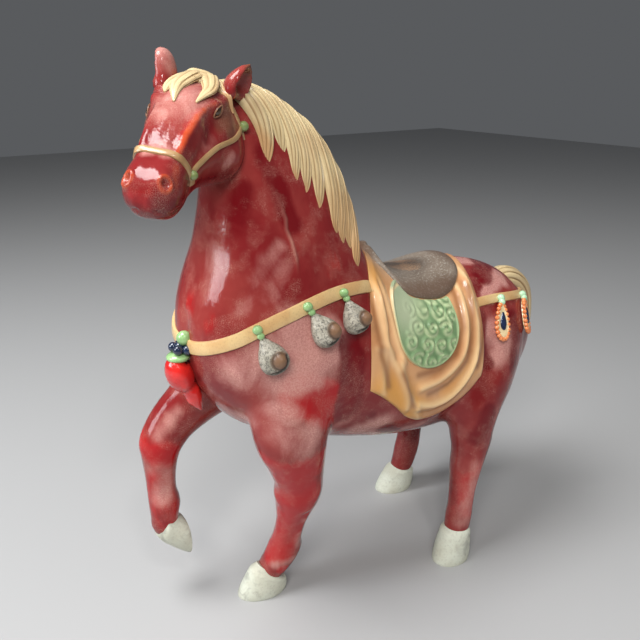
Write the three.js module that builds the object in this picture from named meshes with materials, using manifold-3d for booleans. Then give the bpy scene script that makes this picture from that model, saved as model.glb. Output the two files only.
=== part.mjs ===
// A glazed ceramic horse, walking with one foreleg raised, in saddle, blanket and festive harness.
// Millimetres. The horse walks toward -X, its left side faces -Y, Z is up and the ground is z = 0.
// The whole figure is one casting, so every form is joined into one solid at the end.
import * as THREE from 'three';
import { mergeVertices } from 'three/addons/utils/BufferGeometryUtils.js';
import Module from 'manifold-3d';

const wasm = await Module();
wasm.setup();

// How finely the round forms are cut into flat faces
const trunkSides = 18;
const trunkRings = 23;
const limbSides = 9;
const limbRings = 10;
const hoofSides = 10;
const headSides = 12;
const headRings = 14;
const earSides = 7;
const clothRows = 16;
const clothColumns = 21;

// Trunk and neck, as ribs from the buttocks to the poll. Each rib runs from a point on the top line
// to a point on the under line; width is half the breadth, and narrow draws in its upper half.
const trunkRibs = [
  { top: [164, 198], low: [164, 180], width: 10, narrow: 0 },
  { top: [158, 212], low: [161, 156], width: 30, narrow: 0 },
  { top: [147, 222], low: [151, 134], width: 42, narrow: 0 },
  { top: [129, 231], low: [132, 118], width: 50, narrow: 0.02 },
  { top: [106, 237], low: [106, 110], width: 54, narrow: 0.04 },
  { top: [80, 239.5], low: [78, 106], width: 56, narrow: 0.04 },
  { top: [50, 238.5], low: [46, 107], width: 57, narrow: 0.04 },
  { top: [22, 243], low: [10, 114], width: 56, narrow: 0.1 },
  { top: [4, 257], low: [-30, 126], width: 54, narrow: 0.2 },
  { top: [-6, 277], low: [-68, 141], width: 53, narrow: 0.3 },
  { top: [-13, 298], low: [-104, 160], width: 51, narrow: 0.36 },
  { top: [-22, 319], low: [-128, 194], width: 46, narrow: 0.36 },
  { top: [-37, 340], low: [-131, 232], width: 36, narrow: 0.32 },
  { top: [-55, 354], low: [-119, 268], width: 28, narrow: 0.28 },
  { top: [-74, 364.5], low: [-112, 300], width: 22.5, narrow: 0.22 },
  { top: [-92, 368.5], low: [-112, 322], width: 17.5, narrow: 0.18 },
  { top: [-106, 368], low: [-116, 338], width: 13, narrow: 0.1 },
];

// Legs, as centres down the limb with half-sizes along and across the horse
const legs = {
  leftFore: [
    { at: [-72, -32, 186], along: 34, across: 20 },
    { at: [-76, -37, 158], along: 28, across: 20 },
    { at: [-71, -34, 135], along: 22, across: 17.5 },
    { at: [-66, -29, 115], along: 18, across: 15.5 },
    { at: [-64, -25, 100], along: 17, across: 15.5 },
    { at: [-64, -20, 86], along: 14, across: 13.5 },
    { at: [-64, -15, 70], along: 11.5, across: 10.5 },
    { at: [-64, -9, 53], along: 11, across: 10.5 },
    { at: [-64, -5, 41], along: 12.5, across: 12 },
    { at: [-68, -2, 30], along: 11.5, across: 11.5 },
    { at: [-73, 1, 20], along: 10.5, across: 10 },
  ],
  rightFore: [
    { at: [-76, 32, 188], along: 32, across: 20 },
    { at: [-92, 37, 171], along: 27, across: 19 },
    { at: [-111, 39, 157], along: 20.5, across: 16.5 },
    { at: [-126, 39, 146], along: 17.5, across: 15 },
    { at: [-135, 38, 135], along: 16, across: 14.5 },
    { at: [-138.5, 38, 122], along: 13, across: 12.5 },
    { at: [-139.5, 38, 108], along: 11, across: 10.5 },
    { at: [-139.5, 38, 95], along: 10.5, across: 10 },
    { at: [-139, 37, 83], along: 11, across: 10.5 },
    { at: [-139.5, 37, 74], along: 10, across: 10 },
    { at: [-139.5, 37, 66], along: 9.5, across: 9.5 },
  ],
  leftHind: [
    { at: [114, -28, 188], along: 42, across: 24 },
    { at: [100, -38, 160], along: 37, across: 22 },
    { at: [87, -45, 136], along: 28, across: 19 },
    { at: [82, -49, 116], along: 20, across: 16 },
    { at: [80, -51, 100], along: 16.5, across: 13.5 },
    { at: [76, -52, 85], along: 13.5, across: 12.5 },
    { at: [74, -52, 66], along: 11, across: 10.5 },
    { at: [73, -52, 50], along: 10.5, across: 10 },
    { at: [73, -51, 39], along: 11, across: 10.5 },
    { at: [72, -51, 30], along: 10.5, across: 10 },
    { at: [71, -51, 22], along: 9.5, across: 9.5 },
  ],
  rightHind: [
    { at: [118, 28, 188], along: 42, across: 24 },
    { at: [112, 39, 160], along: 37, across: 22 },
    { at: [108, 46, 136], along: 28, across: 19 },
    { at: [110, 49, 116], along: 20, across: 16 },
    { at: [113, 51, 100], along: 16.5, across: 13.5 },
    { at: [114, 52, 85], along: 13.5, across: 12.5 },
    { at: [112, 52, 66], along: 11.5, across: 10.5 },
    { at: [110.5, 52, 50], along: 11.5, across: 10.5 },
    { at: [108, 52, 39], along: 11.5, across: 11 },
    { at: [105, 52, 29], along: 10.5, across: 10.5 },
    { at: [102, 52.5, 21], along: 9.5, across: 9.5 },
  ],
};

// Hooves: where the coronet and the sole are centred, which way the toe and the sole point,
// half the sole's length and breadth, and how far the coronet tilts up toward the toe
const ground = [0, 0, -1];
const hanging = [0.05, 0, -1];
const behind = [1, 0, 0.05];
const hooves = [
  { coronet: [-74, 1.5, 20], sole: [-78, 5, 0], toe: [-1, 0.12, 0], down: ground, half: [20, 13], tilt: 6 },
  { coronet: [71, -51, 25], sole: [70, -50, 0], toe: [-1, -0.1, 0], down: ground, half: [17.5, 13.5], tilt: 0.8 },
  { coronet: [103, 53, 20], sole: [97, 55, 0], toe: [-1, 0.1, 0], down: ground, half: [19.5, 13.5], tilt: 1.6 },
  { coronet: [-142, 37, 67], sole: [-125, 37, 53], toe: hanging, down: behind, half: [17.5, 12.5], tilt: 5.5 },
];
const heelShorter = 0.16;

// Head: set on at the poll, turned to the horse's left, nose down and a little tilted
const poll = [-116, -8, 371.5];
const headTurn = THREE.MathUtils.degToRad(44);
const noseDown = THREE.MathUtils.degToRad(26.8);
const headTilt = THREE.MathUtils.degToRad(7.5);

// Head sections along the face: height of the face line, of the jaw line, half-breadth, and how far
// the section draws in toward the face
const headRibs = [
  { reach: -12, top: -8, low: -30, width: 14, narrow: 0.1 },
  { reach: -4, top: -1, low: -44, width: 21, narrow: 0.2 },
  { reach: 6, top: 3, low: -51, width: 25.5, narrow: 0.26 },
  { reach: 18, top: 5, low: -52, width: 26, narrow: 0.28 },
  { reach: 30, top: 5, low: -47, width: 23, narrow: 0.28 },
  { reach: 42, top: 4, low: -40, width: 20, narrow: 0.14 },
  { reach: 54, top: 2, low: -35, width: 17, narrow: 0.02 },
  { reach: 65, top: 0, low: -33, width: 15, narrow: 0 },
  { reach: 76, top: 0, low: -32, width: 15, narrow: 0 },
  { reach: 83, top: -1, low: -29.5, width: 14, narrow: 0 },
  { reach: 88, top: -4, low: -25, width: 11.5, narrow: 0 },
  { reach: 91, top: -9, low: -19, width: 6, narrow: 0 },
];
const squareness = 0.86;

// Ears, in the head's own directions: side, foot, tip and half-breadth, with the share of the
// half-breadth at each share of the length: the left one leaf-shaped, the right one blunter
const pointed = [[0, 0.8], [0.3, 1], [0.6, 0.84], [0.85, 0.5], [1, 0.2]];
const blunt = [[0, 0.85], [0.3, 1], [0.6, 0.97], [0.85, 0.72], [1, 0.25]];
const ears = [
  { side: 1, foot: [-4, 18.5, -9], tip: [-14, 27.2, 7.2], broad: 9.6, shares: pointed },
  { side: -1, foot: [-5, -19, -7], tip: [-14.5, -23.5, 10.5], broad: 8, shares: blunt },
];
const earHalfDepth = 6;
const earHollow = 0.66;

// Eyes, brows and nostrils, in the head's own directions
const eyeAt = { reach: 24, left: 19.5, rise: -3 };
const browAt = { reach: 20, left: 14, rise: -4.5 };
const nostrilAt = { reach: 87, left: 9, rise: -5 };

// Tail: dock, bow and fall, with half-breadths
const tailSides = 10;
const tailRings = 10;
const tailRun = [
  { at: [146, 0, 210], half: 8 },
  { at: [159, 0, 211], half: 10.5 },
  { at: [172, 0, 205], half: 12 },
  { at: [181, 0, 193], half: 12.5 },
  { at: [184, 0, 172], half: 12.5 },
  { at: [181, 0, 148], half: 11.5 },
  { at: [175, 0, 122], half: 10 },
  { at: [167, 0, 100], half: 7 },
  { at: [159, 0, 86], half: 2 },
];

// Mane: where its locks start and end along the neck, in rib numbers, and how far round they hang
const mane = {
  locks: 9, perLock: 4, rows: 6,
  root: [15.9, 9.5], tip: [13.6, 9.2], start: -16, hang: [80, 52],
  base: 1.6, ridge: 3.4, notch: 0.3, peak: 0.72,
};
const maneSweep = 2.8;

// Forelock: the same over the brow, in head rib numbers and degrees round the head
const fringe = {
  locks: 4, perLock: 4, rows: 5,
  root: [0.3, 0.3], tip: [3.5, 4.4], start: [150, 36], hang: [160, 44],
  base: 2.8, ridge: 2.6, notch: 0.5, peak: 0.5,
};

// Saddle cloth: rib numbers of its front and rear edges, at the top of the back and at the hem, how
// far its front bows forward, and how far its hem hangs, in degrees round the trunk, front to rear
const clothFront = { top: 8.08, hem: 8.28, bow: 0.48 };
const clothRear = { top: 4.35, hem: 5.0, bow: 0.14 };
const clothHem = [106, 108, 113, 121, 124, 121, 115, 108, 99];
const clothLift = 2.6;
const clothInside = [32, 0, 188];

// Flap under the saddle: middle, half-length and the heights of its round end and hem
const flapMiddle = 28;
const flapHalf = 29;
const flapBend = 210;
const flapDrop = 28;
const flapRise = 28;
const flapHeart = 208;
const flapDepth = 20;
const flapSides = 13;

// How proud the flap's plate and its rim stand, and the heights between which it sinks under the seat
const flapProud = 1.8;
const flapRim = 0.4;
const flapTuck = { from: 228, to: 236, depth: 2 };
const curlRadius = 5;
const curlSpots = [[52, 218], [41, 208], [18.5, 210], [30, 199], [49, 196], [12, 193], [24, 187], [38, 185]];

// Where the search for a flap's place on the trunk starts, and how it steps there
const flapSearch = { place: 6.6, drop: 70, steps: 12, ribSpacing: 29, easing: 0.8, least: 20, most: 125 };

// Saddle seat: middle and half-lengths, in rib numbers and degrees round the trunk
const seatMiddle = 6.12;
const seatRear = 1.42;
const seatFront = 2.14;
const seatHalfTurn = 42;
const seatSides = 16;
const seatBase = 0;
const seatRim = 2.8;
const seatPommel = { high: 4, from: 0.5, to: 0.9 };
const seatTaper = 0.55;
const seatRiseAhead = 0.3;
const seatRiseBehind = 0.1;
const seatRollOff = 0.8;
const seatInside = [45, 0, 200];

// Straps
const chestStrap = { middle: -50, front: 217, side: 246, half: 4.2, sweep: 128 };
const crupperStrap = { middle: 95, rear: 205, side: 215, half: 3.4, sweep: 104 };
const strapLift = 2;

// Runs a smooth curve through rows of numbers
function catmullRom(a, b, c, d, t) {
  const leaving = (c - a) / 2;
  const arriving = (d - b) / 2;
  const square = t * t;
  const cube = square * t;
  const cubed = 2 * (b - c) + leaving + arriving;
  const squared = 3 * (c - b) - 2 * leaving - arriving;
  return cubed * cube + squared * square + leaving * t + b;
}

function rowAt(rows, place) {
  const last = rows.length - 1;
  const step = Math.min(last - 1, Math.max(0, Math.floor(place)));
  const pick = (index) => rows[Math.min(last, Math.max(0, index))];
  const [before, here, next, after] = [-1, 0, 1, 2].map((offset) => pick(step + offset));
  return here.map((value, k) => catmullRom(before[k], value, next[k], after[k], place - step));
}

function smoothRows(rows, count) {
  return Array.from({ length: count }, (_, i) => rowAt(rows, (i / (count - 1)) * (rows.length - 1)));
}

// A closed body over the given points and triangles, its faces turned outward
function body(points, index) {
  let volume = 0;
  for (let i = 0; i < index.length; i += 3) {
    const [p, q, r] = index.slice(i, i + 3).map((k) => points[k]);
    volume += p.dot(q.clone().cross(r));
  }
  const geometry = new THREE.BufferGeometry().setFromPoints(points);
  geometry.setIndex(volume > 0 ? index : index.reverse());
  return geometry;
}

function middleOf(ring) {
  return ring.reduce((sum, point) => sum.add(point), new THREE.Vector3()).divideScalar(ring.length);
}

// Skin over a run of rings, with a fan over each end
function skin(rings) {
  const sides = rings[0].length;
  const points = rings.flat();
  const index = [];
  for (let r = 0; r < rings.length - 1; r++) {
    const near = r * sides;
    const far = near + sides;
    for (let s = 0; s < sides; s++) {
      const next = (s + 1) % sides;
      index.push(near + s, near + next, far + next, near + s, far + next, far + s);
    }
  }
  const first = points.push(middleOf(rings[0])) - 1;
  const last = points.push(middleOf(rings.at(-1))) - 1;
  const end = (rings.length - 1) * sides;
  for (let s = 0; s < sides; s++) {
    const next = (s + 1) % sides;
    index.push(first, next, s, last, end + s, end + next);
  }
  return body(points, index);
}

// The rim of a sheet, in order round it
function rimOf(rows, columns) {
  const rim = [];
  for (let c = 0; c < columns - 1; c++) rim.push(c);
  for (let r = 0; r < rows - 1; r++) rim.push(r * columns + columns - 1);
  for (let c = columns - 1; c > 0; c--) rim.push((rows - 1) * columns + c);
  for (let r = rows - 1; r > 0; r--) rim.push(r * columns);
  return rim;
}

// A sheet of points whose rim is closed toward one point inside the horse
function capOver(sheet, inside) {
  const columns = sheet[0].length;
  const points = [...sheet.flat(), inside];
  const index = [];
  for (let r = 0; r < sheet.length - 1; r++) {
    for (let c = 0; c < columns - 1; c++) {
      const a = r * columns + c;
      index.push(a, a + 1, a + columns + 1, a, a + columns + 1, a + columns);
    }
  }
  rimOf(sheet.length, columns).forEach((corner, i, rim) => {
    index.push(points.length - 1, rim[(i + 1) % rim.length], corner);
  });
  return body(points, index);
}

// A slab between an outer and an inner sheet of points
function slab(outer, inner) {
  const columns = outer[0].length;
  const total = outer.length * columns;
  const points = [...outer.flat(), ...inner.flat()];
  const index = [];
  const quad = (a, b, c, d) => index.push(a, b, c, a, c, d);
  for (let r = 0; r < outer.length - 1; r++) {
    for (let c = 0; c < columns - 1; c++) {
      const a = r * columns + c;
      quad(a, a + 1, a + columns + 1, a + columns);
      quad(total + a, total + a + columns, total + a + columns + 1, total + a + 1);
    }
  }
  rimOf(outer.length, columns).forEach((corner, i, rim) => {
    const next = rim[(i + 1) % rim.length];
    quad(corner, total + corner, total + next, next);
  });
  return body(points, index);
}

// The same for a round sheet: rings about a middle point
function capOverRings(middle, rings, inside) {
  const sides = rings[0].length;
  const points = [...rings.flat(), middle, inside];
  const top = points.length - 2;
  const heart = points.length - 1;
  const rim = (rings.length - 1) * sides;
  const index = [];
  for (let s = 0; s < sides; s++) {
    const next = (s + 1) % sides;
    index.push(top, s, next, heart, rim + next, rim + s);
    for (let r = 0; r < rings.length - 1; r++) {
      const near = r * sides;
      const far = near + sides;
      index.push(near + s, far + s, far + next, near + s, far + next, near + next);
    }
  }
  return body(points, index);
}

// One ring: an oval spanned by two half-axes, narrowed toward its upper side, and squarer as power
// falls below 1
function oval(centre, side, up, narrow, sides, power = 1) {
  return Array.from({ length: sides }, (_, s) => {
    const turn = (2 * Math.PI * s) / sides;
    const { across, height } = section(turn, narrow, power);
    return centre.clone().addScaledVector(side, across).addScaledVector(up, height);
  });
}

function section(turn, narrow, power) {
  const squared = (value) => Math.sign(value) * Math.abs(value) ** power;
  const height = squared(Math.sin(turn));
  return { across: squared(Math.cos(turn)) * (1 - narrow * height), height };
}

// A rounded run through centres: half-sizes in and out of a chosen direction
function tube(rows, count, sides, wide) {
  const smooth = smoothRows(rows, count);
  const centres = smooth.map((row) => new THREE.Vector3(row[0], row[1], row[2]));
  return skin(smooth.map((row, i) => {
    const run = centres[Math.min(count - 1, i + 1)].clone().sub(centres[Math.max(0, i - 1)]).normalize();
    const thick = wide.clone().cross(run).normalize();
    const side = run.clone().cross(thick).normalize();
    return oval(centres[i], side.multiplyScalar(row[4]), thick.multiplyScalar(row[3]), 0, sides);
  }));
}

// Trunk and neck
const ribRows = trunkRibs.map((rib) => [...rib.top, ...rib.low, rib.width, rib.narrow]);

function ribAt(place) {
  const [topX, topZ, lowX, lowZ, width, narrow] = rowAt(ribRows, place);
  const centre = new THREE.Vector3((topX + lowX) / 2, 0, (topZ + lowZ) / 2);
  const up = new THREE.Vector3((topX - lowX) / 2, 0, (topZ - lowZ) / 2);
  return { centre, up, width, narrow };
}

function trunkAndNeck() {
  const rings = [];
  for (let i = 0; i < trunkRings; i++) {
    const { centre, up, width, narrow } = ribAt((i / (trunkRings - 1)) * (trunkRibs.length - 1));
    rings.push(oval(centre, new THREE.Vector3(0, width, 0), up, narrow, trunkSides));
  }
  return skin(rings);
}

// A point on the trunk: place counts ribs, drop is in degrees from the top line down the left side
function onTrunk(place, drop, lift) {
  const bare = (at, degrees) => {
    const { centre, up, width, narrow } = ribAt(at);
    const turn = THREE.MathUtils.degToRad(90 + degrees);
    const across = Math.cos(turn) * (1 - narrow * Math.sin(turn)) * width;
    return centre.addScaledVector(up, Math.sin(turn)).add(new THREE.Vector3(0, across, 0));
  };
  const point = bare(place, drop);
  const along = bare(place + 0.05, drop).sub(bare(place - 0.05, drop));
  const around = bare(place, drop + 1).sub(bare(place, drop - 1));
  const outward = around.cross(along).normalize();
  const centre = ribAt(place).centre;
  if (outward.dot(point.clone().sub(centre)) < 0) outward.negate();
  return { point: point.addScaledVector(outward, lift), outward };
}

// Legs and hooves
function leg(rows) {
  const run = rows.map((row) => [...row.at, row.along, row.across]);
  return tube(run, limbRings, limbSides, new THREE.Vector3(0, 1, 0));
}

function hoof({ coronet, sole, toe, down, half: [long, broad], tilt }) {
  const toward = new THREE.Vector3(...toe).normalize();
  const axis = new THREE.Vector3(...down).normalize();
  const side = toward.clone().cross(axis).normalize();
  const top = new THREE.Vector3(...coronet);
  const floor = new THREE.Vector3(...sole);
  const shares = [[0, 0.7, 0.84], [0.86, 1, 1], [1, 0.96, 0.96]];
  return skin(shares.map(([depth, length, breadth]) => Array.from({ length: hoofSides }, (_, s) => {
    const turn = (2 * Math.PI * s) / hoofSides;
    const heel = Math.max(0, -Math.cos(turn)) ** 2;
    return top.clone().lerp(floor, depth)
      .addScaledVector(toward, Math.cos(turn) * long * length * (1 - heelShorter * heel))
      .addScaledVector(side, Math.sin(turn) * broad * breadth)
      .addScaledVector(axis, -Math.cos(turn) * tilt * (1 - depth));
  })));
}

// The head's own directions: reach runs down the face, left to the horse's left, rise off the face
function headFrame() {
  const heading = new THREE.Vector3(-Math.cos(headTurn), -Math.sin(headTurn), 0);
  const level = new THREE.Vector3(Math.sin(headTurn), -Math.cos(headTurn), 0);
  const upright = new THREE.Vector3(0, 0, 1);
  const mix = (a, b, turn) => a.clone().multiplyScalar(Math.cos(turn)).addScaledVector(b, Math.sin(turn));
  const reach = mix(heading, upright, -noseDown);
  const lift = mix(upright, heading, noseDown);
  const left = mix(level, lift, -headTilt);
  const rise = mix(lift, level, headTilt);
  return new THREE.Matrix4().makeBasis(reach, left, rise).setPosition(...poll);
}

const headRows = headRibs.map((rib) => [rib.reach, rib.top, rib.low, rib.width, rib.narrow]);
const toHorse = headFrame();

// A point on the head: place counts its ribs, turn goes round from its left side over the face
function onHead(place, turnDegrees, lift) {
  const [reach, top, low, width, narrow] = rowAt(headRows, place);
  const { across, height } = section(THREE.MathUtils.degToRad(turnDegrees), narrow, squareness);
  const middle = (top + low) / 2;
  const half = (top - low) / 2;
  const spot = new THREE.Vector3(reach, across * (width + lift), middle + height * (half + lift));
  return spot.applyMatrix4(toHorse);
}

function onHeadFacing(place, turnDegrees, lift) {
  const point = onHead(place, turnDegrees, lift);
  const outward = onHead(place, turnDegrees, lift + 4).sub(point).normalize();
  return { point, outward };
}

function head() {
  const rings = smoothRows(headRows, headRings).map(([reach, top, low, width, narrow]) => {
    const centre = new THREE.Vector3(reach, 0, (top + low) / 2);
    const up = new THREE.Vector3(0, 0, (top - low) / 2);
    return oval(centre, new THREE.Vector3(0, width, 0), up, narrow, headSides, squareness);
  });
  return skin(rings).applyMatrix4(toHorse);
}

// One ear, or, at a smaller scale and moved outward, its hollow
function ear({ side, foot, tip, broad, shares }, scale) {
  const hollow = scale < 1;
  const start = new THREE.Vector3(...foot);
  const end = new THREE.Vector3(...tip);
  const outward = new THREE.Vector3(0.45, 0.9 * side, 0).multiplyScalar(hollow ? earHalfDepth * 0.75 : 0);
  const rows = shares.map(([share, size]) => {
    const centre = start.clone().lerp(end, share * (hollow ? 0.9 : 1)).add(outward);
    return [...centre.toArray(), earHalfDepth * size * scale, broad * size * scale];
  });
  const wide = new THREE.Vector3(-0.5, 0.85 * side, -0.2);
  return tube(rows, shares.length, earSides, wide).applyMatrix4(toHorse);
}

function knob({ reach, left, rise }, side, radius, stretch) {
  const ball = new THREE.SphereGeometry(radius, 6, 4);
  ball.scale(...stretch);
  return ball.translate(reach, left * side, rise).applyMatrix4(toHorse);
}

// Tail, grooved into locks
function tail() {
  const rows = smoothRows(tailRun.map((row) => [...row.at, row.half]), tailRings);
  const centres = rows.map((row) => new THREE.Vector3(row[0], row[1], row[2]));
  return skin(rows.map((row, i) => {
    const run = centres[Math.min(tailRings - 1, i + 1)].clone().sub(centres[Math.max(0, i - 1)]).normalize();
    const side = new THREE.Vector3(0, 1, 0);
    const back = side.clone().cross(run).normalize();
    return Array.from({ length: tailSides }, (_, s) => {
      const turn = (2 * Math.PI * s) / tailSides;
      const reach = row[3] * (s % 2 === 0 ? 1 : 0.84);
      return centres[i].clone()
        .addScaledVector(side, Math.cos(turn) * reach)
        .addScaledVector(back, Math.sin(turn) * reach);
    });
  }));
}

// Hair: a slab over a surface, ridged into locks whose lower ends are pointed
function hair({ locks, perLock, rows, base, ridge, notch, peak }, spot) {
  const columns = locks * perLock + 1;
  const outer = [];
  const inner = [];
  for (let c = 0; c < columns; c++) {
    const share = c / (columns - 1);
    const within = (c % perLock) / perLock;
    const point = within < peak ? within / peak : (1 - within) / (1 - peak);
    const length = 1 - notch * (1 - point);
    outer.push(Array.from({ length: rows }, (_, r) => {
      const fall = (r / (rows - 1)) * length;
      const height = base + ridge * Math.sin(Math.PI * within) * Math.sin(Math.PI * (0.12 + 0.7 * fall));
      const { point: foot, outward } = spot(share, fall);
      return foot.clone().addScaledVector(outward, r === rows - 1 ? 0.4 * height : height);
    }));
    inner.push(Array.from({ length: rows }, (_, r) => {
      const { point: foot, outward } = spot(share, (r / (rows - 1)) * length);
      return foot.clone().addScaledVector(outward, -3);
    }));
  }
  return slab(outer, inner);
}

function between([from, to], share) {
  return from + (to - from) * share;
}

function maneHair() {
  return hair(mane, (share, fall) => {
    const place = between([between(mane.root, share), between(mane.tip, share)], fall);
    const drop = between([mane.start, between(mane.hang, 1 - (1 - share) ** maneSweep)], fall ** 0.85);
    return onTrunk(place, drop, 0);
  });
}

function foreHair() {
  return hair(fringe, (share, fall) => {
    const middle = Math.sin(Math.PI * share);
    const place = between([fringe.root[0], between(fringe.tip, middle)], fall * (0.55 + 0.45 * middle));
    const turn = between([between(fringe.start, share), between(fringe.hang, share)], fall);
    return onHeadFacing(place, turn, 0.5);
  });
}

// Saddle cloth with its folds
function clothPoint(f, g) {
  const side = 2 * g - 1;
  const hem = rowAt(clothHem.map((drop) => [drop]), f * (clothHem.length - 1))[0];
  const depth = Math.abs(side);
  const edge = ({ top, hem: low, bow }) => between([top, low], depth) + bow * Math.sin(Math.PI * depth);
  return onTrunk(between([edge(clothFront), edge(clothRear)], f), hem * side, 0);
}

// Distance outside the flap's outline, seen from the side
function outsideFlap(x, z) {
  if (z > flapBend) return Math.abs(x - flapMiddle) - flapHalf;
  const reach = Math.hypot((x - flapMiddle) / flapHalf, (z - flapBend) / flapDrop);
  return (reach - 1) * flapHalf;
}

function ridge(distance, half) {
  return Math.exp(-((distance / half) ** 2));
}

// Folds of the cloth: two round the flap, by how far outside it they run, and three hanging ones
// ahead of it, by where they cross a height and how they lean
const roundFolds = [{ out: 7.5, half: 4.2, high: 3.2 }, { out: 18, half: 5.2, high: 4.2 }];
const hangingFolds = [
  { x: -20, z: 180, lean: -0.06, half: 4.5, high: 2 },
  { x: -3, z: 200, lean: -0.05, half: 4.5, high: 2.6 },
  { x: 4, z: 181, lean: -0.36, half: 4, high: 2.6, below: 196 },
];
const foldFade = 20;

function foldHeight({ x, z }) {
  const gap = outsideFlap(x, z);
  const behind = THREE.MathUtils.smoothstep(x - 0.35 * (z - 175), 2, 22);
  const lowered = THREE.MathUtils.smoothstep(250 - z, 4, 30);
  const around = roundFolds.reduce((sum, { out, half, high }) => sum + high * ridge(gap - out, half), 0);
  const ahead = hangingFolds.reduce((sum, fold) => {
    const shown = fold.below ? THREE.MathUtils.smoothstep(fold.below - z, 0, foldFade) : 1;
    return sum + fold.high * shown * ridge(x - fold.x - fold.lean * (z - fold.z), fold.half);
  }, 0);
  return lowered * (around * behind + ahead * (1 - behind));
}

function cloth() {
  const sheet = Array.from({ length: clothRows }, (_, i) => Array.from({ length: clothColumns }, (_, j) => {
    const { point, outward } = clothPoint(i / (clothRows - 1), j / (clothColumns - 1));
    return point.clone().addScaledVector(outward, clothLift + foldHeight(point));
  }));
  return capOver(sheet, new THREE.Vector3(...clothInside));
}

// Flap plates with raised curls, on both sides
function onFlap(x, z, side, lift) {
  let { place, drop } = flapSearch;
  for (let i = 0; i < flapSearch.steps; i++) {
    const { point } = onTrunk(place, drop, 0);
    place -= (x - point.x) / flapSearch.ribSpacing;
    drop += THREE.MathUtils.radToDeg((point.z - z) / ribAt(place).up.length()) * flapSearch.easing;
    drop = THREE.MathUtils.clamp(drop, flapSearch.least, flapSearch.most);
  }
  const { point, outward } = onTrunk(place, drop, 0);
  const surface = point.clone().addScaledVector(outward, clothLift + lift);
  if (side > 0) {
    surface.y *= -1;
    outward.y *= -1;
  }
  return { point: surface, outward };
}

function flapOutline(turn) {
  const x = flapMiddle + flapHalf * Math.sin(turn);
  const low = flapBend - flapDrop * Math.cos(turn);
  if (Math.cos(turn) > 0) return [x, low];
  const rise = (-Math.cos(turn)) ** 0.8 * flapRise;
  const aside = Math.sign(Math.sin(turn)) * Math.abs(Math.sin(turn)) ** 0.35;
  return [flapMiddle + flapHalf * aside, flapBend + rise];
}

function flap(side) {
  const middle = [flapMiddle, flapHeart];
  const rings = [0.5, 0.92, 1].map((share) => Array.from({ length: flapSides }, (_, s) => {
    const [x, z] = flapOutline((2 * Math.PI * s) / flapSides);
    const height = middle[1] + (z - middle[1]) * share;
    const tucked = flapTuck.depth * THREE.MathUtils.smoothstep(height, flapTuck.from, flapTuck.to);
    const lift = (share === 1 ? flapRim : flapProud) - tucked;
    return onFlap(middle[0] + (x - middle[0]) * share, height, side, lift).point;
  }));
  const inside = new THREE.Vector3(flapMiddle, side * flapDepth, flapHeart);
  return capOverRings(onFlap(...middle, side, flapProud).point, rings, inside);
}

// One raised curl of the flap's pattern, as a low boss
function curl(x, z, side) {
  const sides = 5;
  const rim = Array.from({ length: sides }, (_, s) => {
    const turn = (2 * Math.PI * s) / sides;
    return onFlap(x + curlRadius * Math.cos(turn), z + curlRadius * Math.sin(turn), side, 0.9).point;
  });
  return capOverRings(onFlap(x, z, side, 3.4).point, [rim], onFlap(x, z, side, -2).point);
}

function curls(side) {
  return curlSpots.map(([x, z]) => curl(x, z, side));
}

// Saddle seat: a dished oval with a raised rim, drawn up to the withers in front
function seat() {
  const spot = (share, turn) => {
    const ahead = Math.cos(turn);
    const place = seatMiddle + share * ahead * (ahead > 0 ? seatFront : seatRear);
    const taper = 1 - seatTaper * THREE.MathUtils.smoothstep(share * ahead, 0.35, 0.8);
    const drop = seatHalfTurn * share * Math.sin(turn) * taper;
    const rollOff = seatRollOff * THREE.MathUtils.smoothstep(share, 0.86, 1);
    const rim = THREE.MathUtils.smoothstep(share, 0.3, 0.8) * (1 - rollOff);
    const slope = 1 - share * ahead * (ahead < 0 ? seatRiseBehind : seatRiseAhead);
    const drawnUp = THREE.MathUtils.smoothstep(share * ahead, seatPommel.from, seatPommel.to);
    const pommel = seatPommel.high * drawnUp * (1 - rollOff);
    return onTrunk(place, drop, clothLift + seatBase + seatRim * rim * slope + pommel).point;
  };
  const rings = [0.3, 0.58, 0.8, 0.94, 1].map((share) => (
    Array.from({ length: seatSides }, (_, s) => spot(share, (2 * Math.PI * s) / seatSides))
  ));
  return capOverRings(spot(0, 0), rings, new THREE.Vector3(...seatInside));
}

// Straps found by looking inward at the trunk from all round
const looking = new THREE.Raycaster();
const trunkMesh = new THREE.Mesh(trunkAndNeck(), new THREE.MeshBasicMaterial({ side: THREE.DoubleSide }));
trunkMesh.updateMatrixWorld();

function fromOutside(middleX, heading, height) {
  const way = new THREE.Vector3(Math.cos(heading), Math.sin(heading), 0);
  looking.set(new THREE.Vector3(middleX, 0, height).addScaledVector(way, 200), way.clone().negate());
  const hit = looking.intersectObject(trunkMesh)[0];
  return { point: hit.point.clone(), outward: hit.face.normal.clone() };
}

function strapSpot(strap, degrees, up) {
  const facing = strap === chestStrap ? Math.PI : 0;
  const swing = Math.min(90, Math.abs(degrees));
  const base = strap === chestStrap ? strap.front : strap.rear;
  const height = base + (strap.side - base) * Math.sin(THREE.MathUtils.degToRad(swing));
  return fromOutside(strap.middle, facing + THREE.MathUtils.degToRad(degrees), height + up);
}

function strapBand(strap, steps) {
  const rings = Array.from({ length: steps }, (_, i) => {
    const degrees = strap.sweep * ((2 * i) / (steps - 1) - 1);
    const low = strapSpot(strap, degrees, -strap.half);
    const high = strapSpot(strap, degrees, strap.half);
    const out = low.outward.clone().add(high.outward).normalize();
    return [
      low.point.clone().addScaledVector(out, -2.5),
      low.point.clone().addScaledVector(out, strapLift),
      high.point.clone().addScaledVector(out, strapLift),
      high.point.clone().addScaledVector(out, -2.5),
    ];
  });
  return skin(rings);
}

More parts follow.
